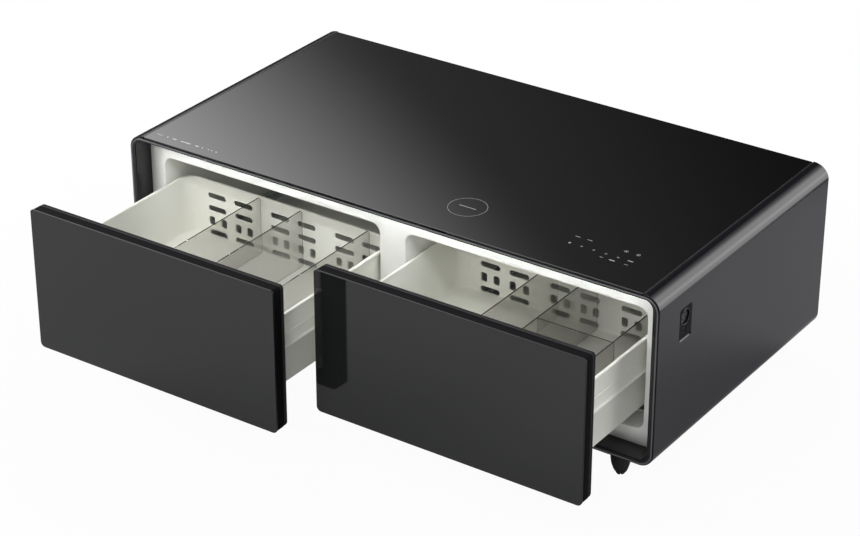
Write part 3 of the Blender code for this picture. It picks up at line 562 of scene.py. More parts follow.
# Light bar: a strip of lamps behind a narrow opal polycarbonate cover, let into a black ABS profile
# under the sleeve's upper lip. It throws its light down and back over the flange.
LAMP_STRENGTH = 38.0
COVER_WIDTH = 0.0038
COVER_RISE = 0.0012
COVER_CHAMFER = 0.0003
COVER_END = 0.001
COVER_TOP_GAP = 0.0010
CHANNEL_WALL = 0.0009
CHANNEL_GAPS = (0.0002, 0.0001)

low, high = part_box("led_strip")
# Opal polycarbonate: a milky cover that glows evenly in a cool white.
opal = surface(
    "opal_polycarbonate",
    "#f8faf4",
    Roughness=0.5,
    Emission_Color=colour("#fafcff"),
    Emission_Strength=LAMP_STRENGTH,
)
inner_back = high.y - CHANNEL_WALL
cover_front = inner_back - COVER_WIDTH
cover_top = high.z - COVER_TOP_GAP
cover_bottom = low.z + COVER_RISE
cover = [
    (cover_front, cover_top),
    (cover_front, cover_bottom + COVER_CHAMFER),
    (cover_front + COVER_CHAMFER, cover_bottom),
    (inner_back - COVER_CHAMFER, cover_bottom),
    (inner_back, cover_bottom + COVER_CHAMFER),
    (inner_back, cover_top),
]
cover_solid = prism("X", cover, low.x + COVER_END, high.x - COVER_END)
piece("light_bar_cover", cover_solid, opal, "cabinet", ["led_strip"])
block = cover_front - CHANNEL_GAPS[0]
rear = inner_back + CHANNEL_GAPS[1]
ceiling = high.z - CHANNEL_WALL
channel = [
    (low.y, high.z), (low.y, low.z), (block, low.z), (block, ceiling),
    (rear, ceiling), (rear, low.z), (high.y, low.z), (high.y, high.z),
]
channel = prism("X", channel, low.x, high.x)
piece("light_bar_channel", channel, black_abs, "cabinet", [], edge=0.0002, steps=1)


# Glass top: 5 mm float glass, painted black on its underside, with a rounded ground edge. The marks
# are fired ink: a ring over the charging coil, thirteen touch marks and a row of specks in front.
GLASS_CORNER = 0.004
INK = 0.00005
RING_CENTRE = (0.1385, -0.0635)
RING_RADIUS = 0.041
RING_WIDTH = 0.0009
FIRST_MARK = (0.3885, -0.0790)
MARK_PITCH = 0.0275
MARK_RISE = 0.031
MARK_DROP = 0.0170
LOWER_MARKS = (
    # column, shift to the right, length, width
    (3, 0.0, 0.008, 0.0014), (4, -0.004, 0.012, 0.0036), (5, 0.0, 0.008, 0.0014),
)
SPECK_ROW = -0.149
SPECKS = (
    # place along the front, length, width
    (-0.5900, 0.016, 0.0010), (-0.5690, 0.0035, 0.0040), (-0.5500, 0.010, 0.0028), (-0.5200, 0.026, 0.0026),
    (-0.4900, 0.010, 0.0028), (-0.4750, 0.003, 0.0030), (-0.4585, 0.003, 0.0024), (-0.4500, 0.003, 0.0024),
    (-0.4380, 0.0035, 0.0036),
)

# Float glass, painted behind: a deep black mirror with faint smears from wiping, 170 mm wide.
black_glass = surface("back_painted_glass", "#050506", Roughness=0.04, IOR=1.52)
uneven(black_glass, 1 / 6, (0.02, 0.06), 3.0)
low, high = glass_low, glass_high
plate = prism("Z", rounded((low.x, low.y), (high.x, high.y), GLASS_CORNER, 8), low.z, high.z)
piece("top_glass", plate, black_glass, "cabinet", ["glass_top"], edge=0.0010, steps=1)


def circle(centre, radius, count):
    """Points all round a circle."""
    return arc(centre, radius, 0.0, 2 * pi * (count - 1) / count, count - 1)


def ink_ring(bm, centre, radius, width, steps=40):
    """A flat printed ring."""
    rings = []
    for r, z in ((radius, 0.0), (radius, INK), (radius - width, INK), (radius - width, 0.0)):
        rings.append(ring("Z", circle(centre, r, steps), glass_high.z + z))
    loft(rings, "wrap", bm)


def ink_bar(bm, centre, length, width, turn=0.0):
    """A flat printed bar, turned about its middle."""
    corners = ((-length, -width), (length, -width), (length, width), (-length, width))
    points = []
    for p, q in corners:
        x = centre[0] + (p * cos(turn) - q * sin(turn)) / 2
        points.append((x, centre[1] + (p * sin(turn) + q * cos(turn)) / 2))
    prism("Z", points, glass_high.z, glass_high.z + INK, bm)


def mark_place(column, rise=0.0):
    """The middle of a touch mark in a column, above or below the main row."""
    return FIRST_MARK[0] + column * MARK_PITCH, FIRST_MARK[1] + rise


# Fired enamel ink: matt grey, with a faint painted glow that makes it a little brighter than
# its surroundings.
painted_glow_ink = surface(
    "fired_grey_ink_painted_glow", "#7f8184", Roughness=0.6, Emission_Color=colour("#c9ccd2"), Emission_Strength=0.10
)
marks = bmesh.new()
ink_ring(marks, RING_CENTRE, RING_RADIUS, RING_WIDTH, 64)
ink_bar(marks, RING_CENTRE, 0.040, 0.0022)
for column in (0, 1):
    ink_bar(marks, mark_place(column, MARK_RISE), 0.011, 0.0018)
ink_ring(marks, FIRST_MARK, 0.0028, 0.0024, 20)
for column in (1, 2, 3, 4):
    ink_ring(marks, mark_place(column), 0.0024, 0.0009, 16)
ink_bar(marks, mark_place(5), 0.0115, 0.0030)
for column, shift, length, width in LOWER_MARKS:
    x, y = mark_place(column, -MARK_DROP)
    ink_bar(marks, (x + shift, y), length, width)
for column in (4, 5):
    for turn in range(3):
        ink_bar(marks, mark_place(column, MARK_RISE), 0.0100, 0.0012, turn * pi / 3)
piece("glass_marks", marks, painted_glow_ink, "cabinet", [])
# The same ink in white: matt, with the mesh of the printing screen.
white_ink = grained("fired_white_ink", "#c6c8ca", 0.001, 0.00001, Roughness=0.6)
specks = bmesh.new()
for x, length, width in SPECKS:
    ink_bar(specks, (x, SPECK_ROW), length, width)
piece("glass_specks", specks, white_ink, "cabinet", [])

# Enamelled copper wire, wound flat: warm metal in rings 1.2 mm apart. The wave texture repeats every
# 0.314 of its unit.
copper = surface("enamelled_copper", "#b06a34", Roughness=0.3, Metallic=1.0)
place = add_node(copper, "ShaderNodeTexCoord")
offset = add_node(
    copper,
    "ShaderNodeVectorMath",
    {"operation": "SUBTRACT", 1: (*RING_CENTRE, 0.0)},
    {0: place.outputs["Object"]},
)
windings = add_node(
    copper,
    "ShaderNodeTexWave",
    {"wave_type": "RINGS", "rings_direction": "Z", "Scale": 1.0 / 0.0038},
    {"Vector": offset.outputs["Vector"]},
)
bump = add_node(copper, "ShaderNodeBump", {"Distance": 0.0004}, {"Height": windings.outputs["Fac"]})
join(copper, bump.outputs["Normal"], "Principled BSDF", "Normal")
finish_node("charging_coil", copper)

# Solder mask on glass-fibre board: glossy green, with lighter copper areas showing through, each
# 12.5 mm wide. The brick texture's bricks are half a unit wide.
BOARD_GREEN = "#1f5a35"
solder_mask = surface("solder_mask", BOARD_GREEN, Roughness=0.3)
place = add_node(solder_mask, "ShaderNodeTexCoord")
areas = add_node(
    solder_mask,
    "ShaderNodeTexBrick",
    {"Scale": 0.5 / 0.0125, "Color1": colour(BOARD_GREEN), "Color2": colour("#2b6f43")},
    {"Vector": place.outputs["Object"]},
)
join(solder_mask, areas.outputs["Color"], "Principled BSDF", "Base Color")
finish_node("touch_board", solder_mask)


# Outlet plate: moulded black ABS, set 1.5 mm deep in the right wall. It has a round mains outlet
# with three contact holes and, below it, two charging slots with a tongue in each.
PLATE_CORNER = 0.0037
OUTLET_RADIUS = 0.0155
OUTLET_DROP = 0.021
OUTLET_DEPTH = 0.006
CONTACT_ANGLES = (90.0, 210.0, 330.0)
CONTACT_CIRCLE = 0.0072
CONTACT_RADIUS = 0.0022
CONTACT_DEPTH = 0.005
COLLAR_RADIUS = OUTLET_RADIUS + 0.0012
COLLAR_HALF = 0.0010
COLLAR_RISE = 0.0008
INSERT_GAP = 0.0004
INSERT_LIFT = 0.0002
INSERT_THICKNESS = 0.0025
SLOT_RISES = (0.010, 0.020)
SLOT_SIZE = (0.013, 0.005)
SLOT_DEPTH = 0.008
TONGUE_SIZE = (0.0105, 0.0017)
TONGUE_DROP = 0.0006
TONGUE_SETBACK = 0.0015

low, high = socket_low, socket_high
middle = (low.y + high.y) / 2
outlet = (middle, high.z - OUTLET_DROP)


def disc(axis, centre, radius, low, high, steps=40, bm=None):
    """A plain round solid along an axis."""
    return prism(axis, circle(centre, radius, steps), low, high, bm)


def oblong(centre, size, radius, steps=4):
    """Outline of a rounded rectangle round a centre."""
    half = (size[0] / 2, size[1] / 2)
    low = (centre[0] - half[0], centre[1] - half[1])
    return rounded(low, (centre[0] + half[0], centre[1] + half[1]), radius, steps)


def contacts(low, high):
    """Cutters for the outlet's three contact holes."""
    holes = bmesh.new()
    for angle in CONTACT_ANGLES:
        p = outlet[0] + CONTACT_CIRCLE * cos(radians(angle))
        q = outlet[1] + CONTACT_CIRCLE * sin(radians(angle))
        disc("X", (p, q), CONTACT_RADIUS, low, high, 16, holes)
    return holes


# Moulded ABS with a spark-eroded texture: nearly matt, its 0.3 mm grain drawn 1 mm wide.
eroded_abs = grained(
    "textured_black_abs",
    "#09090a",
    0.001,
    0.00003,
    (0.48, 0.62),
    Roughness=0.55,
    IOR=1.54,
    Specular_IOR_Level=0.10,
)
plate = prism("X", rounded((low.y, low.z), (high.y, high.z), PLATE_CORNER, 8), low.x, high.x)
floor = high.x - OUTLET_DEPTH
recess = disc("X", outlet, OUTLET_RADIUS, floor, high.x + CLEAR)
slots = bmesh.new()
for rise in SLOT_RISES:
    outline = oblong((middle, low.z + rise), SLOT_SIZE, 0.0008)
    prism("X", outline, high.x - SLOT_DEPTH, high.x + CLEAR, slots)
plate = carve(plate, [recess, contacts(floor - CONTACT_DEPTH, high.x), slots])
piece("outlet_plate", plate, eroded_abs, "cabinet", ["socket_panel"], edge=0.0004)

rings = []
for i in range(9):
    turn = i * pi / 8
    points = circle(outlet, COLLAR_RADIUS + COLLAR_HALF * cos(turn), 48)
    rings.append(ring("X", points, high.x + COLLAR_RISE * sin(turn)))
piece("outlet_collar", loft(rings, "wrap"), black_abs, "cabinet", [])

# Melamine resin: hard, dark grey, with a low gloss.
melamine = grained("grey_melamine_resin", "#2b2b2d", 0.0010, 0.00001, Roughness=0.4, IOR=1.5)
foot = floor + INSERT_LIFT
insert = disc("X", outlet, OUTLET_RADIUS - INSERT_GAP, foot, foot + INSERT_THICKNESS)
insert = carve(insert, [contacts(foot - 0.002, foot + CLEAR)])
piece("outlet_insert", insert, melamine, "cabinet", [], edge=0.0003)

# Moulded nylon: dark blue with a low gloss, the one touch of colour in the slots.
blue_nylon = grained("slot_tongue_nylon", "#2c3a50", 0.001, 0.00001, Roughness=0.4)
tongues = bmesh.new()
for rise in SLOT_RISES:
    outline = oblong((middle, low.z + rise - TONGUE_DROP), TONGUE_SIZE, 0.0003)
    prism("X", outline, high.x - SLOT_DEPTH, high.x - TONGUE_SETBACK, tongues)
piece("slot_tongues", tongues, blue_nylon, "cabinet", [], edge=0.0001, steps=1)


# Back panel: 1.5 mm steel sheet, stamped with two fields of louvres and painted, held by ten
# cross-recessed screws. The power inlet snaps into it from outside.
SHEET = 0.0015
LOUVRE_FIELDS = (-0.300, 0.300)
LOUVRE_ROWS = 9
FIRST_LOUVRE = 0.1077
LOUVRE_PITCH = 0.022
LOUVRE_OPENING = (0.220, 0.006)
LOUVRE_HOOD = (
    # distance behind the sheet, height above the opening's middle
    (0.0, 0.0052), (0.0028, 0.0012), (0.0028, 0.0004), (0.0018, 0.0004), (0.0018, 0.0010), (0.0, 0.0038),
)
HOOD_HALF = 0.108
SCREW_COLUMNS = (-0.610, -0.305, 0.0, 0.305, 0.610)
SCREW_HEIGHTS = (0.0117, 0.3417)
SCREW_RADIUS = 0.004
SCREW_RISE = 0.0018
SCREW_GAP = 0.0002
CROSS_LENGTH = 0.0042
CROSS_WIDTH = 0.0009
CROSS_FLOOR = 0.0012
INLET_HOLE = (0.0286, 0.0206)
INLET_COLLAR = (0.035, 0.027)
INLET_NECK = (0.028, 0.020)
INLET_COLLAR_RISE = 0.0028
INLET_MOUTH = (0.024, 0.016)
INLET_FLOOR = 0.004
PIN_PLACES = ((-0.007, -0.002), (0.0, 0.002), (0.007, -0.002))
PIN_SIZE = (0.002, 0.004)
PIN_FOOT = 0.003
PIN_SETBACK = 0.002

low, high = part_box("back_panel")
inlet_low, inlet_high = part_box("power_inlet")
inlet = ((inlet_low.x + inlet_high.x) / 2, (inlet_low.z + inlet_high.z) / 2)
sheet_back = low.y + SHEET
# Painted steel sheet: dark grey, with the shallow unevenness of a sprayed coat, 2.5 mm wide.
painted_steel = grained(
    "painted_steel_sheet", "#2c2d30", 0.0025, 0.00003, (0.44, 0.56), Roughness=0.5, IOR=1.5
)
openings = bmesh.new()
hoods = bmesh.new()
for middle in LOUVRE_FIELDS:
    for row in range(LOUVRE_ROWS):
        z = low.z + FIRST_LOUVRE + row * LOUVRE_PITCH
        opening = oblong((middle, z), LOUVRE_OPENING, 0.0029, 6)
        prism("Y", opening, low.y - CLEAR, low.y + CLEAR, openings)
        lip = [(sheet_back + back, z + rise) for back, rise in LOUVRE_HOOD]
        prism("X", lip, middle - HOOD_HALF, middle + HOOD_HALF, hoods)
inlet_hole = prism("Y", oblong(inlet, INLET_HOLE, 0.001), low.y - CLEAR, low.y + CLEAR)
outline = rounded((low.x, low.z), (high.x, high.z), INNER_RADIUS, 10)
panel = carve(prism("Y", outline, low.y, sheet_back), [openings, inlet_hole])
piece("rear_sheet", panel, painted_steel, "cabinet", ["back_panel"], edge=0.0003)
piece("louvre_hoods", hoods, painted_steel, "cabinet", [], edge=0.0003)

# Black zinc plating: a dark metal with a soft gloss.
black_zinc = grained("black_zinc", "#3b3c40", 0.001, 0.00001, Roughness=0.35, Metallic=1.0)
heads = bmesh.new()
level_slots = bmesh.new()
upright_slots = bmesh.new()
for x in SCREW_COLUMNS:
    for height in SCREW_HEIGHTS:
        z = low.z + height
        rings = []
        for i in range(7):
            turn = i * pi / 12
            points = circle((x, z), SCREW_RADIUS * cos(turn) + 0.0002, 28)
            rings.append(ring("Y", points, sheet_back + SCREW_GAP + SCREW_RISE * sin(turn)))
        loft(rings, "cap", heads)
        crosses = ((CROSS_LENGTH, CROSS_WIDTH), level_slots), ((CROSS_WIDTH, CROSS_LENGTH), upright_slots)
        for size, cutter in crosses:
            outline = oblong((x, z), size, 0.0001, 1)
            prism("Y", outline, sheet_back + CROSS_FLOOR, sheet_back + CLEAR, cutter)
heads = carve(heads, [level_slots, upright_slots])
piece("panel_screws", heads, black_zinc, "cabinet", [])

collar_back = sheet_back + INLET_COLLAR_RISE
collar = prism("Y", oblong(inlet, INLET_COLLAR, 0.003, 6), sheet_back + SEAT_GAP, collar_back)
neck = prism("Y", oblong(inlet, INLET_NECK, 0.001), inlet_low.y, sheet_back + 0.001)
cavity = prism("Y", oblong(inlet, INLET_MOUTH, 0.0015), inlet_low.y + INLET_FLOOR, sheet_back + CLEAR)
inlet_body = carve(carve(collar, [neck], "UNION"), [cavity])
piece("inlet_socket", inlet_body, eroded_abs, "cabinet", ["power_inlet"], edge=0.0003)

# Nickel-plated brass: pale warm metal, rubbed smooth.
nickel = grained("nickel_plated_brass", "#c9c4b4", 0.0008, 0.000005, Roughness=0.22, Metallic=1.0)
pins = bmesh.new()
for dx, dz in PIN_PLACES:
    outline = oblong((inlet[0] + dx, inlet[1] + dz), PIN_SIZE, 0.0003)
    prism("Y", outline, inlet_low.y + PIN_FOOT, low.y - PIN_SETBACK, pins)
piece("inlet_pins", pins, nickel, "cabinet", [], edge=0.0002)


# Cooling unit: an enamelled compressor on rubber feet, a block of aluminium fins, a fan in a square
# frame and a control box, all on the sleeve's floor behind the compartments.
NODE_SHARP_ANGLE = 50.0


def keep(node, made, edge):
    """A CAD node that stays, with its material and with its edges rounded."""
    finish_node(node, made)
    round_off(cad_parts[node], edge, 2, NODE_SHARP_ANGLE)


# Baked enamel on pressed steel: black and glossy, in shallow waves 4 mm long.
enamel = grained("baked_black_enamel", "#151617", 0.004, 0.00004, (0.26, 0.36), Roughness=0.3, IOR=1.5)
keep("compressor", enamel, 0.0006)
# Zinc plating: a pale grey metal whose gloss changes in patches 3 mm wide.
zinc = grained("zinc_plated_steel", "#cdd0d2", 0.003, 0.00001, (0.28, 0.42), Roughness=0.34, Metallic=1.0)
keep("compressor_base", zinc, 0.0004)
# Rolled aluminium: a pale metal with a satin gloss.
aluminium = grained(
    "rolled_aluminium", "#c6c9cb", 0.002, 0.00001, (0.30, 0.42), Roughness=0.35, Metallic=1.0
)
keep("condenser", aluminium, 0.0002)
# Glass-filled nylon, moulded: dull black, a little rough.
filled_nylon = grained("glass_filled_nylon", "#1a1b1c", 0.0015, 0.00002, Roughness=0.5)
keep("fan_frame", filled_nylon, 0.0004)
keep("fan_rotor", filled_nylon, 0.0003)
# Moulded ABS: plain grey, without gloss.
grey_abs = grained("grey_abs_housing", "#55585b", 0.001, 0.00002, Roughness=0.5)
keep("control_unit", grey_abs, 0.0010)


# Drawer fronts: 4 mm glass, painted grey-black on its back and bonded to a plain black ABS core.
# Behind it sit a white inner panel and a magnetic gasket with a bellows.
FRONT_RADII = (0.011, 0.011, 0.007, 0.007)
CORE_STEPS = (
    # depth behind the glass, inset from the core's outline
    (0.0000, 0.0010), (0.0003, 0.0003), (0.0010, 0.0000), (0.0207, 0.0000), (0.0214, 0.0003),
    (0.0217, 0.0010),
)
PANEL_GROWTH = 0.003
PANEL_STEPS = (
    # depth behind the core, inset from the panel's outline
    (0.0000, 0.0000), (0.0088, 0.0000), (0.0099, 0.0008), (0.0102, 0.0020), (0.0102, 0.0180),
    (0.0094, 0.0190), (0.0090, 0.0205),
)
GASKET_WIDTH = 0.036
GASKET_PROFILE = (
    # share of the width from the outside, depth behind the core
    (0.00, 0.0000), (0.00, 0.0018), (0.07, 0.0030), (0.00, 0.0043), (0.07, 0.0056), (0.00, 0.0069),
    (0.01, 0.0092), (0.05, 0.0102), (0.30, 0.0102), (0.36, 0.0096), (0.64, 0.0096), (0.70, 0.0102),
    (0.95, 0.0102), (0.99, 0.0092), (1.00, 0.0069), (0.93, 0.0056), (1.00, 0.0043), (0.93, 0.0030),
    (1.00, 0.0018), (1.00, 0.0000),
)

# Float glass, painted grey behind: a dark mirror, lighter than the top, with smears 140 mm wide.
front_glass = surface("grey_back_painted_glass", "#1d1e1e", Roughness=0.05, IOR=1.52)
uneven(front_glass, 1 / 7, (0.03, 0.07), 3.0)
# Glass, ground and inked: the panes' rims show only a dull line.
ground_rim = grained(
    "ground_glass_rim",
    "#141516",
    0.0008,
    0.00001,
    (0.36, 0.48),
    Roughness=0.42,
    IOR=1.52,
    Specular_IOR_Level=0.25,
)
# Matt moulded ABS: nearly without sheen, so that the cores stay black from above.
core_abs = grained(
    "matt_black_abs",
    "#131315",
    0.0012,
    0.00001,
    (0.54, 0.66),
    Roughness=0.6,
    IOR=1.54,
    Specular_IOR_Level=0.02,
)
# Soft vinyl, extruded: dull and nearly black.
gasket_vinyl = grained("soft_black_vinyl", "#19191a", 0.001, 0.00002, Roughness=0.6)


def inset(box, amount, growth):
    """A drawer front's outline in a box, drawn in on all sides, with its corner radii grown."""
    low, high = box
    radii = tuple(radius + growth for radius in FRONT_RADII)
    return rounded((low.x + amount, low.z + amount), (high.x - amount, high.z - amount), radii, 10)


for side in ("left", "right"):
    body = side + "_drawer"
    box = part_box(side + "_front_glass")
    plate = prism("Y", inset(box, 0.0, 0.0), box[0].y, box[1].y)
    pane = piece(
        side + "_glass", plate, front_glass, body, [side + "_front_glass"], edge=0.0005
    )
    pane.data.materials.append(ground_rim)
    for face in pane.data.polygons:
        if abs(face.normal.y) < 0.5:
            face.material_index = 1
    pane.modifiers["round_edges"].material = 1
    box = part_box(side + "_front_core")
    rings = [ring("Y", inset(box, gap, -gap), box[0].y + back) for back, gap in CORE_STEPS]
    piece(side + "_core", loft(rings), core_abs, body, [side + "_front_core"])
    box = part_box(side + "_inner_panel")
    rings = [ring("Y", inset(box, gap, PANEL_GROWTH), box[0].y + back) for back, gap in PANEL_STEPS]
    piece(side + "_panel", loft(rings), formed_styrene, body, [side + "_inner_panel"])
    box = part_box(side + "_gasket")
    rings = []
    for share, back in GASKET_PROFILE:
        rings.append(ring("Y", inset(box, share * GASKET_WIDTH, 0.0), box[0].y + back))
    piece(side + "_seal", loft(rings, "wrap"), gasket_vinyl, body, [side + "_gasket"])


# Drawer boxes: injection-moulded white ABS with a rolled rim, a groove and a ridge round the
# outside and a skirt that hides the slides. Slots in the back wall let the cold air through.
BOX_HALF = 0.272
BOX_DEPTH = 0.421
BOX_WALL = 0.003
BOX_CORNER = 0.028
SLOT_COLUMNS = (-0.196, -0.125, -0.026, 0.045, 0.144, 0.213)
SLOT_ROWS = (0.2175, 0.187, 0.1292)
SLOT_OPENING = (0.047, 0.0125)
SLOT_CORNER = 0.005
SLOT_WALL = 0.0032
SQUARE_ROW = 0.157
SQUARE_SHIFT = 0.0155
SQUARE_OPENING = (0.0145, 0.0200)
SQUARE_CORNER = 0.004
SQUARE_WALL = 0.0030
FLARE = 0.0009
FLARE_RUN = 0.004
SLIDE_OFFSET = 0.250
NOTCH_HALF = 0.0195
NOTCH_HEIGHTS = (0.085, 0.1185)
NOTCH_REACH = (0.057, 0.02)
BOX_SECTIONS = (
    # height above the cabinet's underside, growth outwards from the box's inner outline
    (0.1210, -0.0070), (0.1214, -0.0045), (0.1224, -0.0028), (0.1240, -0.0016), (0.1270, -0.0010),
    (0.1610, -0.0006), (0.2495, 0.0000), (0.2512, 0.0006), (0.2520, 0.0020), (0.2520, 0.0058),
    (0.2514, 0.0070), (0.2500, 0.0075), (0.2468, 0.0075), (0.2458, 0.0070), (0.2452, 0.0040),
    (0.2446, 0.0033), (0.2070, 0.0032), (0.2062, 0.0024), (0.2050, 0.0024), (0.2042, 0.0032),
    (0.1810, 0.0032), (0.1776, 0.0046), (0.1764, 0.0060), (0.1752, 0.0062), (0.1728, 0.0062),
    (0.1716, 0.0058), (0.1700, 0.0036), (0.1680, 0.0024), (0.0958, 0.0016), (0.0950, 0.0010),
    (0.0950, -0.0006), (0.0956, -0.0014), (0.1180, -0.0014),
)

# Injection-moulded ABS: a warm white with an even, low gloss, uneven by the mould's polish.
moulded_abs = grained(
    "moulded_white_abs", "#f5f5ec", 0.006, 0.00002, (0.28, 0.38), Roughness=0.32, IOR=1.54
)
base_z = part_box("outer_shell")[0].z


def box_plan(middle, front, back, grow):
    """A drawer box from above: square front corners, round back corners."""
    half = BOX_HALF + grow
    radius = BOX_CORNER + grow
    right = arc((middle + half - radius, back + grow - radius), radius, 0.0, pi / 2, 14)
    left = arc((middle - half + radius, back + grow - radius), radius, pi / 2, pi, 14)
    start = front if grow > 0.0 else front + BOX_WALL
    return [(middle - half, start), (middle + half, start)] + right + left


def slot_cutter(bm, centre, size, radius, near, far):
    """A slot's cutter, flared where it meets the wall's two faces."""
    sections = (
        (near - FLARE_RUN, FLARE), (near, FLARE), (near + FLARE, 0.0),
        (far - FLARE, 0.0), (far, FLARE), (far + FLARE_RUN, FLARE),
    )
    rings = []
    for y, grow in sections:
        rings.append(ring("Y", oblong(centre, (size[0] + 2 * grow, size[1] + 2 * grow), radius + grow), y))
    loft(rings, "cap", bm)


for side, middle in (("left", -MOUTH_OFFSET), ("right", MOUTH_OFFSET)):
    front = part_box(side + "_drawer_box")[0].y
    wall = front + BOX_DEPTH - BOX_WALL
    rings = []
    for height, grow in BOX_SECTIONS:
        rings.append(ring("Z", box_plan(middle, front, wall, grow), base_z + height))
    slots = bmesh.new()
    for column in SLOT_COLUMNS:
        x = middle + column
        for height in SLOT_ROWS:
            centre = (x, base_z + height)
            slot_cutter(slots, centre, SLOT_OPENING, SLOT_CORNER, wall, wall + SLOT_WALL)
        for shift in (-SQUARE_SHIFT, SQUARE_SHIFT):
            centre = (x + shift, base_z + SQUARE_ROW)
            slot_cutter(slots, centre, SQUARE_OPENING, SQUARE_CORNER, wall, wall + SQUARE_WALL)
    notches = bmesh.new()
    for sign in (-1, 1):
        x = middle + sign * SLIDE_OFFSET
        corners = (x - NOTCH_HALF, base_z + NOTCH_HEIGHTS[0]), (x + NOTCH_HALF, base_z + NOTCH_HEIGHTS[1])
        prism("Y", rounded(*corners, 0.003, 3), wall - NOTCH_REACH[0], wall + NOTCH_REACH[1], notches)
    moulding = carve(loft(rings), [slots, notches])
    piece(side + "_box", moulding, moulded_abs, side + "_drawer", [side + "_drawer_box"])


# Dividers and side guards: 3 mm smoked acrylic, laser cut with polished edges, that stand in the
# drawers. The right drawer has a short cross piece as well.
PLATE_ROUND = 0.006

# Cast acrylic: clear, its brown-grey growing with depth, with finger marks 40 mm wide.
smoked = surface("smoked_acrylic", "#fafafa", Roughness=0.04, IOR=1.49, Transmission_Weight=1.0)
tint = add_node(smoked, "ShaderNodeVolumeAbsorption", {"Color": colour("#a39f95"), "Density": 130.0})
join(smoked, tint.outputs["Volume"], "Material Output", "Volume")
uneven(smoked, 0.040, (0.02, 0.08))

for side in ("left", "right"):
    for name in (side + "_guard", side + "_divider_1", side + "_divider_2"):
        low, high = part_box(name)
        outline = [(low.y, low.z), (high.y, low.z)]
        top = high.z - PLATE_ROUND
        outline += arc((high.y - PLATE_ROUND, top), PLATE_ROUND, 0.0, pi / 2, 6)
        outline += arc((low.y + PLATE_ROUND, top), PLATE_ROUND, pi / 2, pi, 6)
        plate = prism("X", outline, low.x, high.x)
        piece(name + "_plate", plate, smoked, side + "_drawer", [name], edge=0.0004)
low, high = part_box("right_cross_divider")
outline = [(low.x, low.z), (high.x, low.z), (high.x, high.z), (low.x, high.z)]
plate = prism("Y", outline, low.y, high.y)
piece(
    "right_cross_plate", plate, smoked, "right_drawer", ["right_cross_divider"], edge=0.0004
)


# Slides: roll-formed, zinc-plated steel. Under each box run two, each of a fixed channel, a middle
# rail and a channel that carries the box.
for side in ("left", "right"):
    for hand in ("left", "right"):
        for member in ("fixed", "middle", "drawer"):
            keep(side + "_slide_" + hand + "_" + member, zinc, 0.0003)


# Casters: a bell-shaped hood of black nylon swivels on a zinc-plated pin, over two wheels with
# round treads of soft rubber on one axle. The front pair is swung to one side.
CASTER_TRAIL = 0.016
CASTER_HEADINGS = {"front": radians(-55.0), "back": radians(90.0)}
AXLE_HEIGHT = 0.021
AXLE_HOLE = 0.0045
AXLE_HOLE_HALF = 0.0207
PIN_BORE = 0.0055
PIN_BORE_HEIGHTS = (0.042, 0.060)
WHEEL_PROFILE = (
    # radius, distance from the middle, from the axle's end to the groove between the wheels
    (0.0036, 0.0163), (0.0040, 0.0159), (0.0040, 0.0108), (0.0058, 0.0108), (0.0062, 0.0104),
    (0.0100, 0.0100), (0.0128, 0.0099), (0.0132, 0.0094), (0.0138, 0.0094), (0.0142, 0.0098),
    (0.0160, 0.0092), (0.0178, 0.0082), (0.0195, 0.0066), (0.0204, 0.0050), (0.0209, 0.0030),
    (0.0210, 0.0021), (0.0208, 0.0013), (0.0203, 0.0009), (0.0185, 0.0008),
)
HOOD_SECTIONS = (
    # height, half width, half length of the hood's outside
    (0.0140, 0.0144, 0.0248), (0.0145, 0.0147, 0.0251), (0.0170, 0.0159, 0.0253), (0.0200, 0.0170, 0.0254),
    (0.0240, 0.0183, 0.0256), (0.0280, 0.0193, 0.0257), (0.0370, 0.0205, 0.0258), (0.0450, 0.0211, 0.0259),
    (0.0452, 0.0207, 0.0255), (0.0458, 0.0207, 0.0255), (0.0460, 0.0211, 0.0259), (0.0530, 0.0215, 0.0260),
    (0.0539, 0.0213, 0.0258), (0.0545, 0.0205, 0.0250),
)
HOOD_WALL = 0.002
CAVITY_SECTIONS = (
    # height, half width, half length of the cavity before the wall is taken off
    (0.004, 0.0146, 0.0250), (0.0140, 0.0146, 0.0250), (0.0280, 0.0193, 0.0257), (0.0440, 0.0205, 0.0258),
)

# Soft rubber, moulded: dull black with a fine grain that catches little light.
tread = grained("soft_tread_rubber", "#161617", 0.001, 0.00003, (0.52, 0.70), Roughness=0.6)
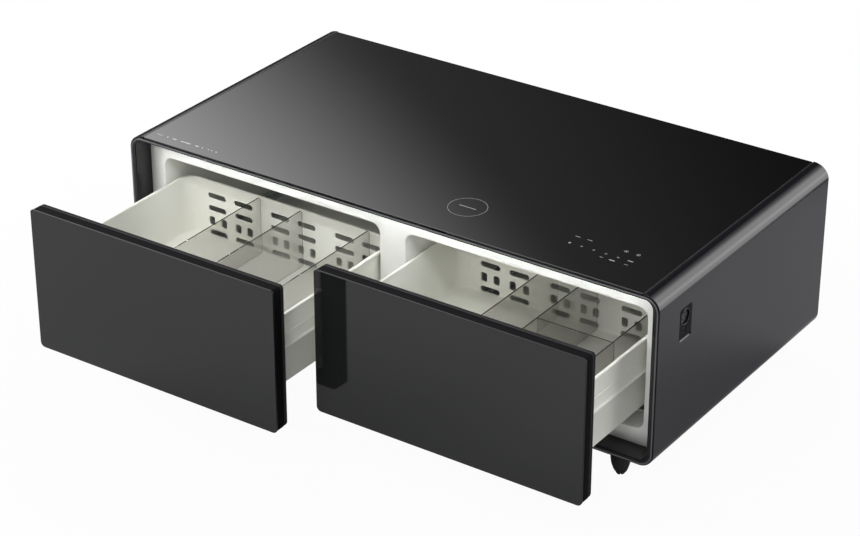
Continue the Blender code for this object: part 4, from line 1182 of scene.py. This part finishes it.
# Moulded nylon: black with a low sheen along the hood's curve.
nylon = grained("black_nylon", "#0f0f10", 0.0015, 0.00001, (0.33, 0.45), Roughness=0.38, IOR=1.53)


def swing(bm, pivot, heading):
    """Turns a body built with its trail along +Y to a caster's heading."""
    bmesh.ops.rotate(bm, cent=pivot, matrix=Matrix.Rotation(heading - pi / 2, 3, "Z"), verts=bm.verts)
    return bm


def bell(axle, sections, wall):
    """A body with oval sections round the wheels, drawn in by the wall."""
    rings = []
    for height, half_width, half_length in sections:
        unit = circle((0.0, 0.0), 1.0, 48)
        oval = [(axle.x + p * (half_width - wall), axle.y + q * (half_length - wall)) for p, q in unit]
        rings.append(ring("Z", oval, height))
    return loft(rings)


for row in ("front", "back"):
    for hand in ("left", "right"):
        name = "caster_" + row + "_" + hand
        heading = CASTER_HEADINGS[row]
        keep(name + "_mount", zinc, 0.0004)
        low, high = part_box(name + "_mount")
        pivot = Vector(((low.x + high.x) / 2, (low.y + high.y) / 2, 0.0))
        axle = pivot + Vector((0.0, CASTER_TRAIL, AXLE_HEIGHT))
        rings = []
        for radius, reach in WHEEL_PROFILE:
            rings.append(ring("X", circle((axle.y, axle.z), radius, 48), axle.x + reach))
        for radius, reach in reversed(WHEEL_PROFILE):
            rings.append(ring("X", circle((axle.y, axle.z), radius, 48), axle.x - reach))
        wheels = swing(loft(rings), pivot, heading)
        piece(name + "_pair", wheels, tread, name + "_wheels", [name + "_wheels"])

        hood = swing(bell(axle, HOOD_SECTIONS, 0.0), pivot, heading)
        cavity = swing(bell(axle, CAVITY_SECTIONS, HOOD_WALL), pivot, heading)
        bore = disc("Z", (pivot.x, pivot.y), PIN_BORE, *PIN_BORE_HEIGHTS, 24)
        ends = axle.x - AXLE_HOLE_HALF, axle.x + AXLE_HOLE_HALF
        hole = swing(disc("X", (axle.y, axle.z), AXLE_HOLE, *ends, 24), pivot, heading)
        shell = carve(hood, [cavity, bore, hole])
        piece(name + "_shell", shell, nylon, name + "_hood", [name + "_hood"], edge=0.0004)
